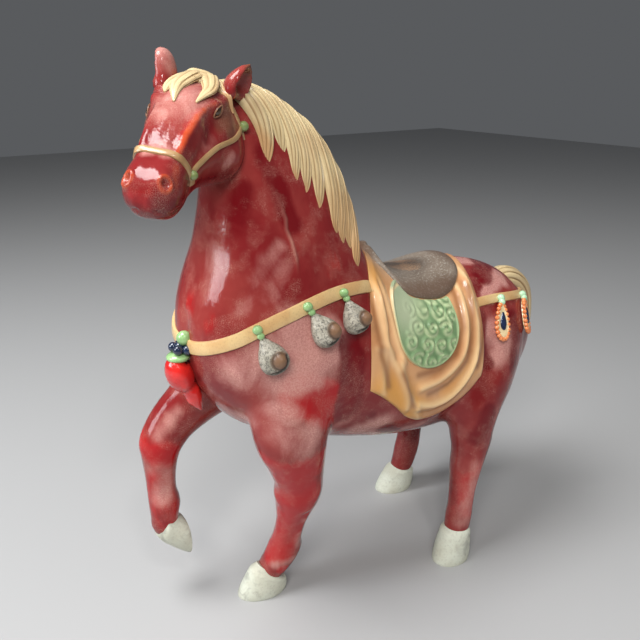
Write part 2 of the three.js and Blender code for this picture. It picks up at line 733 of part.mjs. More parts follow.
// Ornaments: a rounded body of turned profile hung along a line
function turned(profile, sides, from, to) {
  const outline = profile.map(([radius, along]) => new THREE.Vector2(radius, along));
  const lathe = new THREE.LatheGeometry(outline, sides);
  const axis = new THREE.Vector3().subVectors(to, from).normalize();
  lathe.applyQuaternion(new THREE.Quaternion().setFromUnitVectors(new THREE.Vector3(0, 1, 0), axis));
  return lathe.translate(from.x, from.y, from.z);
}

function bead(at, radius, sides = 6) {
  return new THREE.SphereGeometry(radius, sides, 4).translate(at.x, at.y, at.z);
}

function hangLine(strap, degrees, side, length, swing, out) {
  const start = strapSpot(strap, degrees * side, -1);
  const end = strapSpot(strap, (degrees + swing) * side, -length);
  return [start, end].map(({ point, outward }) => point.addScaledVector(outward, out));
}

// A bell under two small beads, and a drop-shaped pendant under the same, each as one turned profile
const bellAngles = [39, 66, 100];
const bellProfile = [
  [0, -3.6], [3.6, -0.5], [1.8, 3], [3.3, 6.2], [7.4, 12], [8.6, 18], [5.6, 24], [0, 26.5],
];
const pendantAngles = [63, 32];
const pendantProfile = [[0, -3], [3, -0.3], [1.6, 3], [2.5, 5], [4.4, 8], [7.2, 14], [6.4, 21], [0, 27]];

function bells(side) {
  return bellAngles.map((angle) => {
    const [from, to] = hangLine(chestStrap, angle, side, 24, 11, 3);
    return turned(bellProfile, 7, from, to);
  });
}

function pendants(side) {
  return pendantAngles.map((angle) => {
    const [from, to] = hangLine(crupperStrap, angle, side, 24, 18, 0.8);
    return turned(pendantProfile, 6, from, to);
  });
}

const tasselRun = [
  [-136, -2, 214, 4.6, 4.6],
  [-137, -2, 209, 6.6, 6.6],
  [-135.5, -2, 203, 8.6, 9],
  [-133, -2, 195, 8, 8.6],
  [-130, -2, 187, 5.2, 5.6],
  [-127, -2, 179, 4.4, 4.6],
  [-123, -3, 171, 1, 1],
];

function tassel() {
  return [
    tube(tasselRun, 8, 8, new THREE.Vector3(0, 1, 0)),
    bead(new THREE.Vector3(-131, -2, 221), 5.4, 7),
    bead(new THREE.Vector3(-134, -2, 216), 4.6, 7),
  ];
}

// Bridle: noseband, cheek straps and crown strap, with round buttons
function bridleStrap(stops, count, half, lift) {
  const spots = smoothRows(stops, count).map(([place, turn]) => onHeadFacing(place, turn, 0));
  return skin(spots.map(({ point, outward }, i) => {
    const run = spots[Math.min(count - 1, i + 1)].point.clone().sub(spots[Math.max(0, i - 1)].point);
    const across = outward.clone().cross(run).normalize();
    return [[-half, -2], [-half, lift], [half, lift], [half, -2]].map(([aside, up]) => (
      point.clone().addScaledVector(across, aside).addScaledVector(outward, up)
    ));
  }));
}

const noseband = [
  [6.6, -60], [6.7, -25], [6.85, 0], [7.1, 45], [7.2, 90], [7.1, 135], [6.85, 180], [6.7, 205], [6.6, 240],
];
const cheekStrap = [[6.85, 3], [5.6, 2], [4.2, 1], [2.9, 0], [1.5, -1]];
const crownStrap = [[1.5, -1], [1.3, 32], [1.1, 60]];

function bridle() {
  const pieces = [bridleStrap(noseband, 11, 2.2, 1.5)];
  for (const side of [1, -1]) {
    const mirrored = ([place, turn]) => [place, side > 0 ? turn : 180 - turn];
    pieces.push(bridleStrap(cheekStrap.map(mirrored), 6, 2, 1.4));
    pieces.push(bridleStrap(crownStrap.map(mirrored), 4, 2, 1.4));
    pieces.push(bead(onHead(...mirrored(cheekStrap[0]), 1.4), 3));
    pieces.push(bead(onHead(...mirrored(cheekStrap.at(-1)), 3), 3.4));
  }
  return pieces;
}

// Closed meshes as solids, and back
function solid(geometry) {
  const plain = geometry.clone();
  plain.deleteAttribute('normal');
  plain.deleteAttribute('uv');
  const merged = mergeVertices(plain, 1e-4);
  return new wasm.Manifold(new wasm.Mesh({
    numProp: 3,
    vertProperties: new Float32Array(merged.attributes.position.array),
    triVerts: new Uint32Array(merged.index.array),
  }));
}

function toGeometry(form) {
  const mesh = form.getMesh();
  const geometry = new THREE.BufferGeometry();
  geometry.setAttribute('position', new THREE.BufferAttribute(mesh.vertProperties, 3));
  geometry.setIndex(new THREE.BufferAttribute(mesh.triVerts, 1));
  return geometry;
}

const sides = [-1, 1];
const fleshed = [
  trunkAndNeck(),
  head(),
  tail(),
  ...Object.values(legs).map(leg),
  ...hooves.map(hoof),
  ...sides.map((side) => knob(browAt, side, 6, [1.6, 0.8, 0.8])),
  ...sides.map((side) => knob(eyeAt, side, 4, [1.2, 0.8, 1])),
];
const dressed = [
  maneHair(),
  foreHair(),
  cloth(),
  seat(),
  ...sides.map(flap),
  ...sides.flatMap(curls),
  strapBand(chestStrap, 18),
  strapBand(crupperStrap, 11),
  ...sides.flatMap(bells),
  ...sides.flatMap(pendants),
  ...tassel(),
  ...bridle(),
];
const hollowEars = ears.map((shape) => solid(ear(shape, 1)).subtract(solid(ear(shape, earHollow))));

const join = (forms) => forms.reduce((whole, form) => whole.add(form));
const nostrils = sides.map((side) => solid(knob(nostrilAt, side, 3.4, [1, 0.8, 1.3])));
const bare = nostrils.reduce((form, nostril) => form.subtract(nostril), join(fleshed.map(solid)));
const figure = join([bare, ...hollowEars, ...dressed.map(solid)]);

const redGlaze = new THREE.MeshStandardMaterial({ color: 0x8e2a24, roughness: 0.18, metalness: 0 });
const horse = new THREE.Mesh(toGeometry(figure), redGlaze);
horse.name = 'horse';

// The frame's origin is the middle of the figure's box on the ground
horse.geometry.computeBoundingBox();
const middle = horse.geometry.boundingBox.getCenter(new THREE.Vector3());
horse.geometry.translate(-middle.x, -middle.y, 0);

const part = new THREE.Group();
part.add(horse);
export default part;
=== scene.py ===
import math

import bpy
import numpy as np
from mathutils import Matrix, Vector
from mathutils.bvhtree import BVHTree


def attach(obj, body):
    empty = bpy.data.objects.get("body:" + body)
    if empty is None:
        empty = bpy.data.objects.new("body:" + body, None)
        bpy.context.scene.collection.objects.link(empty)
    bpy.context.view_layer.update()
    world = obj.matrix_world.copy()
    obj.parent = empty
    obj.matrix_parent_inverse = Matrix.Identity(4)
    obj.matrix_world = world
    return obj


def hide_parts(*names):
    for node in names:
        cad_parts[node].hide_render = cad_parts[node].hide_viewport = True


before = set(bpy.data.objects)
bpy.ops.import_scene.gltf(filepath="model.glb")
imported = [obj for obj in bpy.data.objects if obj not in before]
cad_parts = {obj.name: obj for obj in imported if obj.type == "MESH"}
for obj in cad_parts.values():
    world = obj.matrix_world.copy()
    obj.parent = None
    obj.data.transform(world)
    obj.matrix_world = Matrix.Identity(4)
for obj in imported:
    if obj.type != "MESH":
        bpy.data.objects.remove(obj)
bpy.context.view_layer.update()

MM = 0.001
MIDDLE = np.array([8.77, 1.214, 0.0])
LEFT = 1
RIGHT = -1
SIDE_NAMES = {LEFT: "left", RIGHT: "right"}

# Trunk and neck ribs, buttocks to poll: top x z, low x z, half-breadth, narrowing of the upper half
TRUNK_RIBS = np.array([
    (164, 198, 164, 180, 10, 0),
    (158, 212, 161, 156, 30, 0),
    (147, 222, 151, 134, 42, 0),
    (129, 231, 132, 118, 50, 0.02),
    (106, 237, 106, 110, 54, 0.04),
    (80, 239.5, 78, 106, 56, 0.04),
    (50, 238.5, 46, 107, 57, 0.04),
    (22, 243, 10, 114, 56, 0.1),
    (4, 257, -30, 126, 54, 0.2),
    (-6, 277, -68, 141, 53, 0.3),
    (-13, 298, -104, 160, 51, 0.36),
    (-22, 319, -128, 194, 46, 0.36),
    (-37, 340, -131, 232, 36, 0.32),
    (-55, 354, -119, 268, 28, 0.28),
    (-74, 364.5, -112, 300, 22.5, 0.22),
    (-92, 368.5, -112, 322, 17.5, 0.18),
    (-106, 368, -116, 338, 13, 0.1),
])

# Legs: centre x y z, half-size along and across the horse
LEGS = {
    "left_fore": [
        (-72, -32, 186, 34, 20), (-76, -37, 158, 28, 20), (-71, -34, 135, 22, 17.5),
        (-66, -29, 115, 18, 15.5), (-64, -25, 100, 17, 15.5), (-64, -20, 86, 14, 13.5),
        (-64, -15, 70, 11.5, 10.5), (-64, -9, 53, 11, 10.5), (-64, -5, 41, 12.5, 12),
        (-68, -2, 30, 11.5, 11.5), (-73, 1, 20, 10.5, 10), (-77, 3, 8, 7, 7),
    ],
    "right_fore": [
        (-76, 32, 188, 32, 20), (-92, 37, 171, 27, 19), (-111, 39, 157, 20.5, 16.5),
        (-126, 39, 146, 17.5, 15), (-135, 38, 135, 16, 14.5), (-138.5, 38, 122, 13, 12.5),
        (-139.5, 38, 108, 11, 10.5), (-139.5, 38, 95, 10.5, 10), (-139, 37, 83, 11, 10.5),
        (-139.5, 37, 74, 10, 10), (-139.5, 37, 66, 9.5, 9.5), (-134, 37, 59, 7, 7),
    ],
    "left_hind": [
        (114, -28, 188, 42, 24), (100, -38, 160, 37, 22), (87, -45, 136, 28, 19),
        (82, -49, 116, 20, 16), (80, -51, 100, 16.5, 13.5), (76, -52, 85, 13.5, 12.5),
        (74, -52, 66, 11, 10.5), (73, -52, 50, 10.5, 10), (73, -51, 39, 11, 10.5),
        (72, -51, 30, 10.5, 10), (71, -51, 22, 9.5, 9.5), (70, -51, 8, 7, 7),
    ],
    "right_hind": [
        (118, 28, 188, 42, 24), (112, 39, 160, 37, 22), (108, 46, 136, 28, 19),
        (110, 49, 116, 20, 16), (113, 51, 100, 16.5, 13.5), (114, 52, 85, 13.5, 12.5),
        (112, 52, 66, 11.5, 10.5), (110.5, 52, 50, 11.5, 10.5), (108, 52, 39, 11.5, 11),
        (105, 52, 29, 10.5, 10.5), (102, 52.5, 21, 9.5, 9.5), (98, 54, 8, 7, 7),
    ],
}

# Hooves: coronet and sole centres, toe and sole directions, half-length, half-breadth, coronet tilt
HOOVES = {
    "left_fore": ((-74, 1.5, 17), (-78, 5, 0), (-1, 0.12, 0), (0, 0, -1), 20.5, 13, 7.5),
    "left_hind": ((71, -51, 27.5), (68.5, -50, 0), (-1, -0.1, 0), (0, 0, -1), 17.5, 13.5, -0.4),
    "right_hind": ((103, 53, 20), (97, 55, 0), (-1, 0.1, 0), (0, 0, -1), 19.5, 13.5, 1.6),
    "right_fore": ((-142, 37, 67), (-125, 37, 53), (0.05, 0, -1), (1, 0, 0.05), 17.5, 12.5, 3),
}

# The head's own directions: reach runs down the face, left to the horse's left, rise off the face
POLL = np.array([-116, -8, 371.5])
HEAD_TURN = math.radians(44)
NOSE_DOWN = math.radians(26.8)
HEAD_TILT = math.radians(7.5)

# Head sections: reach, face line, jaw line, half-breadth, narrowing toward the face
HEAD_RIBS = np.array([
    (-12, -8, -30, 14, 0.1),
    (-4, -1, -44, 21, 0.2),
    (6, 3, -51, 25.5, 0.26),
    (18, 5, -52, 26, 0.28),
    (30, 5, -47, 23, 0.28),
    (42, 4, -40, 20, 0.14),
    (54, 2, -35, 17, 0.02),
    (65, 0, -33, 15, 0),
    (76, 0, -32, 15, 0),
    (83, -1, -29.5, 14, 0),
    (88, -4, -25, 11.5, 0),
    (91, -9, -19, 6, 0),
])
HEAD_SQUARENESS = 0.86

TAIL_RUN = np.array([
    (146, 0, 210, 8), (159, 0, 211, 10.5), (172, 0, 205, 12), (181, 0, 193, 12.5), (184, 0, 172, 12.5),
    (181, 0, 148, 11.5), (175, 0, 122, 10), (167, 0, 100, 7), (159, 0, 86, 2),
])


# Numbers: smooth runs, eased steps and distances

HEART_SHARE = 0.05


def row_at(rows, place):
    """The row at a place along a table, on a smooth curve through its rows."""
    rows = np.asarray(rows, float)
    place = np.asarray(place, float)
    last = len(rows) - 1
    step = np.clip(np.floor(place).astype(int), 0, last - 1)
    t = (place - step)[..., None]
    before, here, after, beyond = (rows[np.clip(step + k, 0, last)] for k in (-1, 0, 1, 2))
    leaving = (after - before) / 2
    arriving = (beyond - here) / 2
    cubed = 2 * (here - after) + leaving + arriving
    squared = 3 * (after - here) - 2 * leaving - arriving
    return cubed * t ** 3 + squared * t ** 2 + leaving * t + here


def smooth_rows(rows, count):
    return row_at(rows, np.linspace(0, len(rows) - 1, count))


def value_at(values, place):
    """The value at a place along a list of single numbers, on the same smooth curve."""
    return row_at(np.asarray(values, float)[:, None], place)[..., 0]


def full_turn(count):
    """Angles spread evenly once round."""
    return np.linspace(0, 2 * math.pi, count, endpoint=False)


def ease(value, low, high):
    t = np.clip((np.asarray(value, float) - low) / (high - low), 0, 1)
    return t * t * (3 - 2 * t)


def unit(vectors):
    vectors = np.asarray(vectors, float)
    return vectors / np.maximum(np.linalg.norm(vectors, axis=-1, keepdims=True), 1e-9)


def distance_to_path(points, path):
    """How far each point is from a run of straight stretches, or from a single spot."""
    path = np.asarray(path, float)
    if len(path) == 1:
        return np.linalg.norm(points - path[0], axis=-1)
    nearest = np.full(points.shape[:-1], np.inf)
    for start, end in zip(path[:-1], path[1:]):
        run = end - start
        share = np.clip(((points - start) @ run) / (run @ run), 0, 1)
        gap = np.linalg.norm(points - (start + share[..., None] * run), axis=-1)
        nearest = np.minimum(nearest, gap)
    return nearest


def distance_to_any(points, paths):
    gap = np.full(points.shape[:-1], np.inf)
    for path in paths:
        gap = np.minimum(gap, distance_to_path(points, path))
    return gap


def bump(distance, reach):
    return np.exp(-((distance / reach) ** 2))


def mirrored(path):
    return [(x, -y, z) for x, y, z in path]


def both(strokes):
    """Strokes or patches of (path, reach, strength), with their mirror images."""
    return strokes + [(mirrored(path), reach, strength) for path, reach, strength in strokes]


def rounded_edge(inside, radius):
    """The height of a quarter-round edge: 0 at the edge, 1 from its radius inward."""
    away = 1 - np.clip(inside / radius, 0, 1)
    return np.sqrt(1 - away ** 2)


def drawn_in(ring):
    """A ring drawn in close to its own middle, to close a round plate."""
    return ring * HEART_SHARE + ring.mean(axis=1, keepdims=True) * (1 - HEART_SHARE)


# Frames: the horse's millimetres, the scene's metres and the head's own directions

def to_frame(points):
    return (np.asarray(points, float) - MIDDLE) * MM


def head_directions():
    heading = np.array([-math.cos(HEAD_TURN), -math.sin(HEAD_TURN), 0])
    level = np.array([math.sin(HEAD_TURN), -math.cos(HEAD_TURN), 0])
    upright = np.array([0, 0, 1.0])
    reach = heading * math.cos(NOSE_DOWN) - upright * math.sin(NOSE_DOWN)
    lift = upright * math.cos(NOSE_DOWN) + heading * math.sin(NOSE_DOWN)
    left = level * math.cos(HEAD_TILT) - lift * math.sin(HEAD_TILT)
    rise = lift * math.cos(HEAD_TILT) + level * math.sin(HEAD_TILT)
    return np.array([reach, left, rise])


HEAD_AXES = head_directions()


def from_head(points):
    return POLL + np.asarray(points, float) @ HEAD_AXES


def into_head(points):
    return (np.asarray(points, float) - POLL) @ HEAD_AXES.T


# Pieces: grids and rings of points made into meshes, and their finishing

WELD_GAP = 0.02
SMOOTHING = 0.5
PATCH_FALL = 0.7


def deselect():
    bpy.ops.object.select_all(action="DESELECT")


def choose(piece):
    deselect()
    piece.select_set(True)
    bpy.context.view_layer.objects.active = piece


def grid_piece(name, table):
    """A grid primitive whose crossings are drawn to the given rows of points."""
    rows, columns = table.shape[:2]
    deselect()
    bpy.ops.mesh.primitive_grid_add(x_subdivisions=columns - 1, y_subdivisions=rows - 1, size=0.1)
    piece = bpy.context.object
    piece.name = name
    piece.data.name = name
    piece.data.vertices.foreach_set("co", to_frame(table).ravel())
    piece.data.update()
    return piece


def edit_all(piece, *steps):
    """Runs edit-mode steps on the whole of a piece."""
    choose(piece)
    bpy.ops.object.mode_set(mode="EDIT")
    for step in steps:
        bpy.ops.mesh.select_all(action="SELECT")
        step()
    bpy.ops.object.mode_set(mode="OBJECT")


def weld():
    bpy.ops.mesh.remove_doubles(threshold=WELD_GAP * MM)


def close_ends():
    bpy.ops.mesh.select_all(action="DESELECT")
    bpy.ops.mesh.select_non_manifold(extend=False)
    bpy.ops.mesh.fill_holes(sides=0)


def turn_outward():
    bpy.ops.mesh.normals_make_consistent(inside=False)


def loft(name, rings):
    """A closed form over rings of points, its seam welded and its ends filled."""
    rings = np.asarray(rings, float)
    piece = grid_piece(name, np.concatenate([rings, rings[:, :1]], axis=1))
    edit_all(piece, weld, close_ends, turn_outward)
    return piece


def apply_modifier(piece, kind, **settings):
    choose(piece)
    modifier = piece.modifiers.new(kind.title(), kind)
    for key, value in settings.items():
        setattr(modifier, key, value)
    bpy.ops.object.modifier_apply(modifier=modifier.name)


def join(name, pieces):
    choose(pieces[0])
    for piece in pieces[1:]:
        piece.select_set(True)
    bpy.ops.object.join()
    joined = bpy.context.object
    joined.name = name
    joined.data.name = name
    return joined


def remesh(piece, voxel):
    apply_modifier(piece, "REMESH", mode="VOXEL", voxel_size=voxel * MM, use_smooth_shade=True)


def soften(piece, rounds, group=""):
    apply_modifier(piece, "SMOOTH", factor=SMOOTHING, iterations=rounds, vertex_group=group)


def smooth_shade(piece, angle=60):
    choose(piece)
    bpy.ops.object.shade_smooth_by_angle(angle=math.radians(angle))


def thicken(piece, thickness):
    """Gives a sheet its wall on the inner side and closes it."""
    edit_all(piece, turn_outward)
    apply_modifier(piece, "SOLIDIFY", thickness=thickness * MM, offset=-1, use_even_offset=False)


def points_of(piece):
    flat = np.zeros(len(piece.data.vertices) * 3)
    piece.data.vertices.foreach_get("co", flat)
    return flat.reshape(-1, 3) / MM + MIDDLE


def normals_of(piece):
    flat = np.zeros(len(piece.data.vertices) * 3)
    piece.data.vertex_normals.foreach_get("vector", flat)
    return flat.reshape(-1, 3)


def move_points(piece, points):
    piece.data.vertices.foreach_set("co", to_frame(points).ravel())
    piece.data.update()


def paint(piece, name, values):
    layer = piece.data.attributes.new(name, "FLOAT", "POINT")
    layer.data.foreach_set("value", np.clip(values, 0, 1).astype(np.float32))


def carve(piece, strokes, own=lambda points: points):
    """Raises and lowers a piece along strokes of (path, reach, height)."""
    points = points_of(piece)
    placed = own(points)
    height = np.zeros(len(points))
    for path, reach, lift in strokes:
        height += lift * bump(distance_to_path(placed, path), reach)
    move_points(piece, points + normals_of(piece) * height[:, None])


def patches(points, spots, firmness=3.0):
    """How strongly soft-edged patches of (path, reach, strength) cover each point."""
    cover = np.zeros(len(points))
    for path, reach, strength in spots:
        gap = distance_to_path(points, path) / reach
        cover = np.maximum(cover, strength * np.exp(-(gap ** firmness) * PATCH_FALL))
    return cover


def surface_tree(piece):
    corners = [Vector(p) for p in points_of(piece)]
    return BVHTree.FromPolygons(corners, [tuple(face.vertices) for face in piece.data.polygons])


def settle_on(tree, point):
    """The nearest place on a surface, and the way out of it."""
    spot, normal, _, _ = tree.find_nearest(Vector(point))
    return np.array(spot), np.array(normal)


# Ring shapes

ACROSS = np.array([0, 1.0, 0])


def oval(centre, side, up, narrow, sides):
    """A ring whose upper half is drawn in by a share."""
    turn = full_turn(sides)
    across = np.cos(turn) * (1 - narrow * np.sin(turn))
    return centre + across[:, None] * side + np.sin(turn)[:, None] * up


def ring_of(centre, side, half_side, up, half_up, turn):
    """A ring round a centre, with its half-sizes along two directions."""
    return centre + (half_side * np.cos(turn))[:, None] * side + (half_up * np.sin(turn))[:, None] * up


def tube(name, rows, count, sides, wide, shape=None):
    """A rounded run through centres: x y z, half-size away from wide, half-size toward it.
    shape gives the share of the radius at each share of the run and each angle round it."""
    smooth = smooth_rows(rows, count)
    centres = smooth[:, :3]
    runs = unit(np.gradient(centres, axis=0))
    thick = unit(np.cross(wide, runs))
    side = unit(np.cross(runs, thick))
    turn = full_turn(sides)
    along = np.linspace(0, 1, count)[:, None]
    size = np.ones((count, sides)) if shape is None else shape(along, turn[None, :])
    across = (np.cos(turn)[None, :] * smooth[:, 4:5] * size)[..., None] * side[:, None, :]
    out = (np.sin(turn)[None, :] * smooth[:, 3:4] * size)[..., None] * thick[:, None, :]
    return loft(name, centres[:, None, :] + across + out)


# Trunk: ribs, and places on them counted along the body and down from the top line

PLACE_STEP = 0.05
DROP_STEP = 1


def rib_at(place):
    row = row_at(TRUNK_RIBS, place)
    zero = np.zeros_like(row[..., 0])
    top = np.stack([row[..., 0], zero, row[..., 1]], -1)
    low = np.stack([row[..., 2], zero, row[..., 3]], -1)
    return (top + low) / 2, (top - low) / 2, row[..., 4], row[..., 5]


def bare_trunk(place, drop):
    centre, up, width, narrow = rib_at(place)
    turn = np.radians(90 + np.asarray(drop, float))
    across = np.cos(turn) * (1 - narrow * np.sin(turn)) * width
    point = centre + up * np.sin(turn)[..., None]
    point[..., 1] += across
    return point


def on_trunk(place, drop, lift=0.0):
    """The place lifted off the trunk's skin, and the way out of it."""
    place, drop = np.broadcast_arrays(np.asarray(place, float), np.asarray(drop, float))
    point = bare_trunk(place, drop)
    along = bare_trunk(place + PLACE_STEP, drop) - bare_trunk(place - PLACE_STEP, drop)
    around = bare_trunk(place, drop + DROP_STEP) - bare_trunk(place, drop - DROP_STEP)
    outward = unit(np.cross(around, along))
    away = np.sum(outward * (point - rib_at(place)[0]), -1, keepdims=True)
    outward = outward * np.sign(away)
    return point + outward * np.asarray(lift, float)[..., None], outward


# Head: places on it counted along the face and round from its left side over the face

def bare_head(place, turn):
    row = row_at(HEAD_RIBS, place)
    angle = np.radians(np.asarray(turn, float))
    height = np.sign(np.sin(angle)) * np.abs(np.sin(angle)) ** HEAD_SQUARENESS
    across = np.sign(np.cos(angle)) * np.abs(np.cos(angle)) ** HEAD_SQUARENESS
    across = across * (1 - row[..., 4] * height)
    middle = (row[..., 1] + row[..., 2]) / 2
    half = (row[..., 1] - row[..., 2]) / 2
    spot = [row[..., 0], across * row[..., 3], middle + height * half]
    return np.stack(np.broadcast_arrays(*spot), -1)


# Body: trunk, neck and legs in one skin, with its muscles and folds

TRUNK_RINGS = 90
TRUNK_SIDES = 64
LIMB_RINGS = 44
LIMB_SIDES = 28
BODY_VOXEL = 1.55
SKIN_ROUNDS = 6
JOIN_ROUNDS = 90
JOIN_SHARE = 0.8
JOIN_STEPS = 10
RELIEF_ROUNDS = 4
FINE_REACH = 3.2
SEAM_REACH = 1.2
SEAM_HEIGHT = 0.5


def trunk_form():
    rings = []
    for place in np.linspace(0, len(TRUNK_RIBS) - 1, TRUNK_RINGS):
        centre, up, width, narrow = rib_at(place)
        rings.append(oval(centre, width * ACROSS, up, narrow, TRUNK_SIDES))
    return loft("trunk", rings)


def leg_form(name):
    return tube(name + "_leg", np.array(LEGS[name], float), LIMB_RINGS, LIMB_SIDES, ACROSS)


# Where legs run into the trunk, as spots and reaches that are smoothed most
JOINS = [
    ((-80, -42, 175), 34), ((-92, 42, 172), 34), ((-74, -20, 150), 24), ((-88, 22, 152), 26),
    ((96, -46, 158), 36), ((110, 46, 158), 36), ((90, -26, 132), 24), ((110, 26, 132), 24),
    ((62, -40, 130), 22), ((80, 42, 132), 24), ((138, -30, 160), 26), ((140, 30, 160), 26),
    ((-45, -40, 150), 24), ((-50, 40, 152), 24),
]

# Muscle and fold relief on the left, mirrored to the right: path, reach, height
BOTH_SIDES = [
    ([(-58, -50, 232), (-66, -52, 208), (-76, -50, 190)], 13, 1.6),
    ([(-40, -54, 214), (-42, -54, 190), (-44, -50, 168)], 7, -1.5),
    ([(-105, -30, 205), (-100, -34, 190)], 15, 2.2),
    ([(-84, -44, 168), (-80, -46, 150)], 13, 1.6),
    ([(-105, -16, 279), (-106, -21, 269), (-114, -19, 250), (-117, -12, 240)], 5, -1.8),
    ([(-94, -27, 290), (-100, -29, 272), (-101, -32, 258)], 4.5, -1.3),
    ([(-86, -24, 319), (-85, -28, 300), (-88, -31, 287)], 5, 1.2),
    ([(-60, -36, 300), (-52, -42, 276), (-46, -46, 255)], 12, -1.2),
    ([(120, -52, 190), (112, -56, 170), (100, -57, 152)], 13, 1.8),
    ([(86, -55, 176), (80, -54, 150), (72, -50, 134)], 9, -1.6),
    ([(140, -34, 192), (136, -40, 170), (124, -46, 148)], 7, -1.4),
    ([(60, -48, 138), (48, -46, 130)], 8, -1.2),
    ([(152, -18, 214), (158, -10, 204)], 6, -1.6),
]

# Relief on one side only: breast, folds and the legs' joints
ONE_SIDE = [
    ([(-133, -2, 236), (-130, -2, 215), (-122, 2, 196), (-112, 4, 180)], 6, -2.2),
    ([(-127, -9, 207), (-118, -14, 193), (-106, -16, 180)], 3, -1.0),
    ([(-122, 14, 206), (-112, 22, 186), (-100, 30, 168)], 4, -1.6),
    ([(-104, 2, 172), (-90, -6, 158), (-80, -12, 148)], 6, -1.8),
    ([(-64, -37, 114), (-62, -38, 104)], 6, 1.5),
    ([(-50, -24, 102)], 7, 2.0),
    ([(-79, -22, 100)], 8, 1.2),
    ([(-64, -34, 84), (-65, -26, 66), (-68, -19, 52)], 3.5, -0.9),
    ([(-53, -7, 42)], 5, 1.2),
    ([(-150, 38, 134)], 9, 1.5),
    ([(-124, 38, 128)], 8, -1.5),
    ([(-126, 38, 88), (-126, 37, 82)], 5, 1.6),
    ([(-140, 28, 118), (-140, 28, 96)], 4, -0.8),
    ([(92, -52, 104)], 7, 2.0),
    ([(76, -64, 96), (74, -64, 80)], 6, 0.8),
    ([(83, -52, 44)], 5, 0.8),
    ([(128, 52, 104)], 7, 2.0),
    ([(115, 52, 42)], 5, 0.9),
]

# Fine drawn lines of the mould, carved after the skin is made finer along them
FINE_LINES = [
    ([(-85, -23, 324), (-80, -27, 311), (-78, -30, 303), (-76, -33, 295), (-77, -35, 289),
      (-75, -38, 282), (-74, -41, 272), (-75, -43, 258)], 1.3, 0.7),
    ([(-88, -21, 329), (-86, -25, 319), (-85, -28, 300), (-86, -30, 294), (-89, -31, 287)], 1.4, 0.5),
    ([(-95, -35, 263), (-91, -37, 266), (-87, -38, 267.5), (-84, -39, 266), (-80, -41, 262)], 1.3, 0.9),
    ([(-89, -34, 277), (-84, -36, 276), (-79, -38, 277.5)], 1.2, 0.8),
    ([(-100, -35, 253), (-94, -39, 254), (-89, -42, 252)], 1.2, 0.7),
    ([(-50, -52, 211), (-55, -53, 203), (-56, -52, 187)], 1.3, 0.6),
    ([(-88, -38, 262.5)], 4.5, -1.0),
]
SEAM_LINE = [(-60, 0, 139), (-30, 0, 126), (10, 0, 114), (46, 0, 107), (78, 0, 106), (106, 0, 110)]


def refine_near(piece, paths, reach):
    """Cuts the faces near some lines finer."""
    near = distance_to_any(points_of(piece), paths) < reach
    choose(piece)
    bpy.ops.object.mode_set(mode="EDIT")
    bpy.ops.mesh.select_all(action="DESELECT")
    bpy.ops.object.mode_set(mode="OBJECT")
    for face in piece.data.polygons:
        face.select = all(near[corner] for corner in face.vertices)
    bpy.ops.object.mode_set(mode="EDIT")
    bpy.ops.mesh.subdivide(number_cuts=1, smoothness=0.6)
    bpy.ops.object.mode_set(mode="OBJECT")


def join_weights(piece):
    """A vertex group that is strongest where legs run into the trunk."""
    points = points_of(piece)
    weight = np.zeros(len(points))
    for spot, reach in JOINS:
        weight = np.maximum(weight, bump(np.linalg.norm(points - spot, axis=1), reach * JOIN_SHARE))
    group = piece.vertex_groups.new(name="joins")
    for step in range(1, JOIN_STEPS + 1):
        low = (step - 0.5) / JOIN_STEPS
        chosen = np.nonzero((weight >= low) & (weight < low + 1 / JOIN_STEPS))[0]
        group.add([int(corner) for corner in chosen], step / JOIN_STEPS, "REPLACE")
    return group.name


def body():
    piece = join("horse_body", [trunk_form()] + [leg_form(name) for name in LEGS])
    remesh(piece, BODY_VOXEL)
    soften(piece, SKIN_ROUNDS)
    soften(piece, JOIN_ROUNDS, join_weights(piece))
    carve(piece, both(BOTH_SIDES) + ONE_SIDE)
    soften(piece, RELIEF_ROUNDS)
    refine_near(piece, [path for path, _, _ in FINE_LINES] + [SEAM_LINE], FINE_REACH)
    carve(piece, FINE_LINES + [(SEAM_LINE, SEAM_REACH, SEAM_HEIGHT)])
    piece.vertex_groups.clear()
    smooth_shade(piece)
    return piece


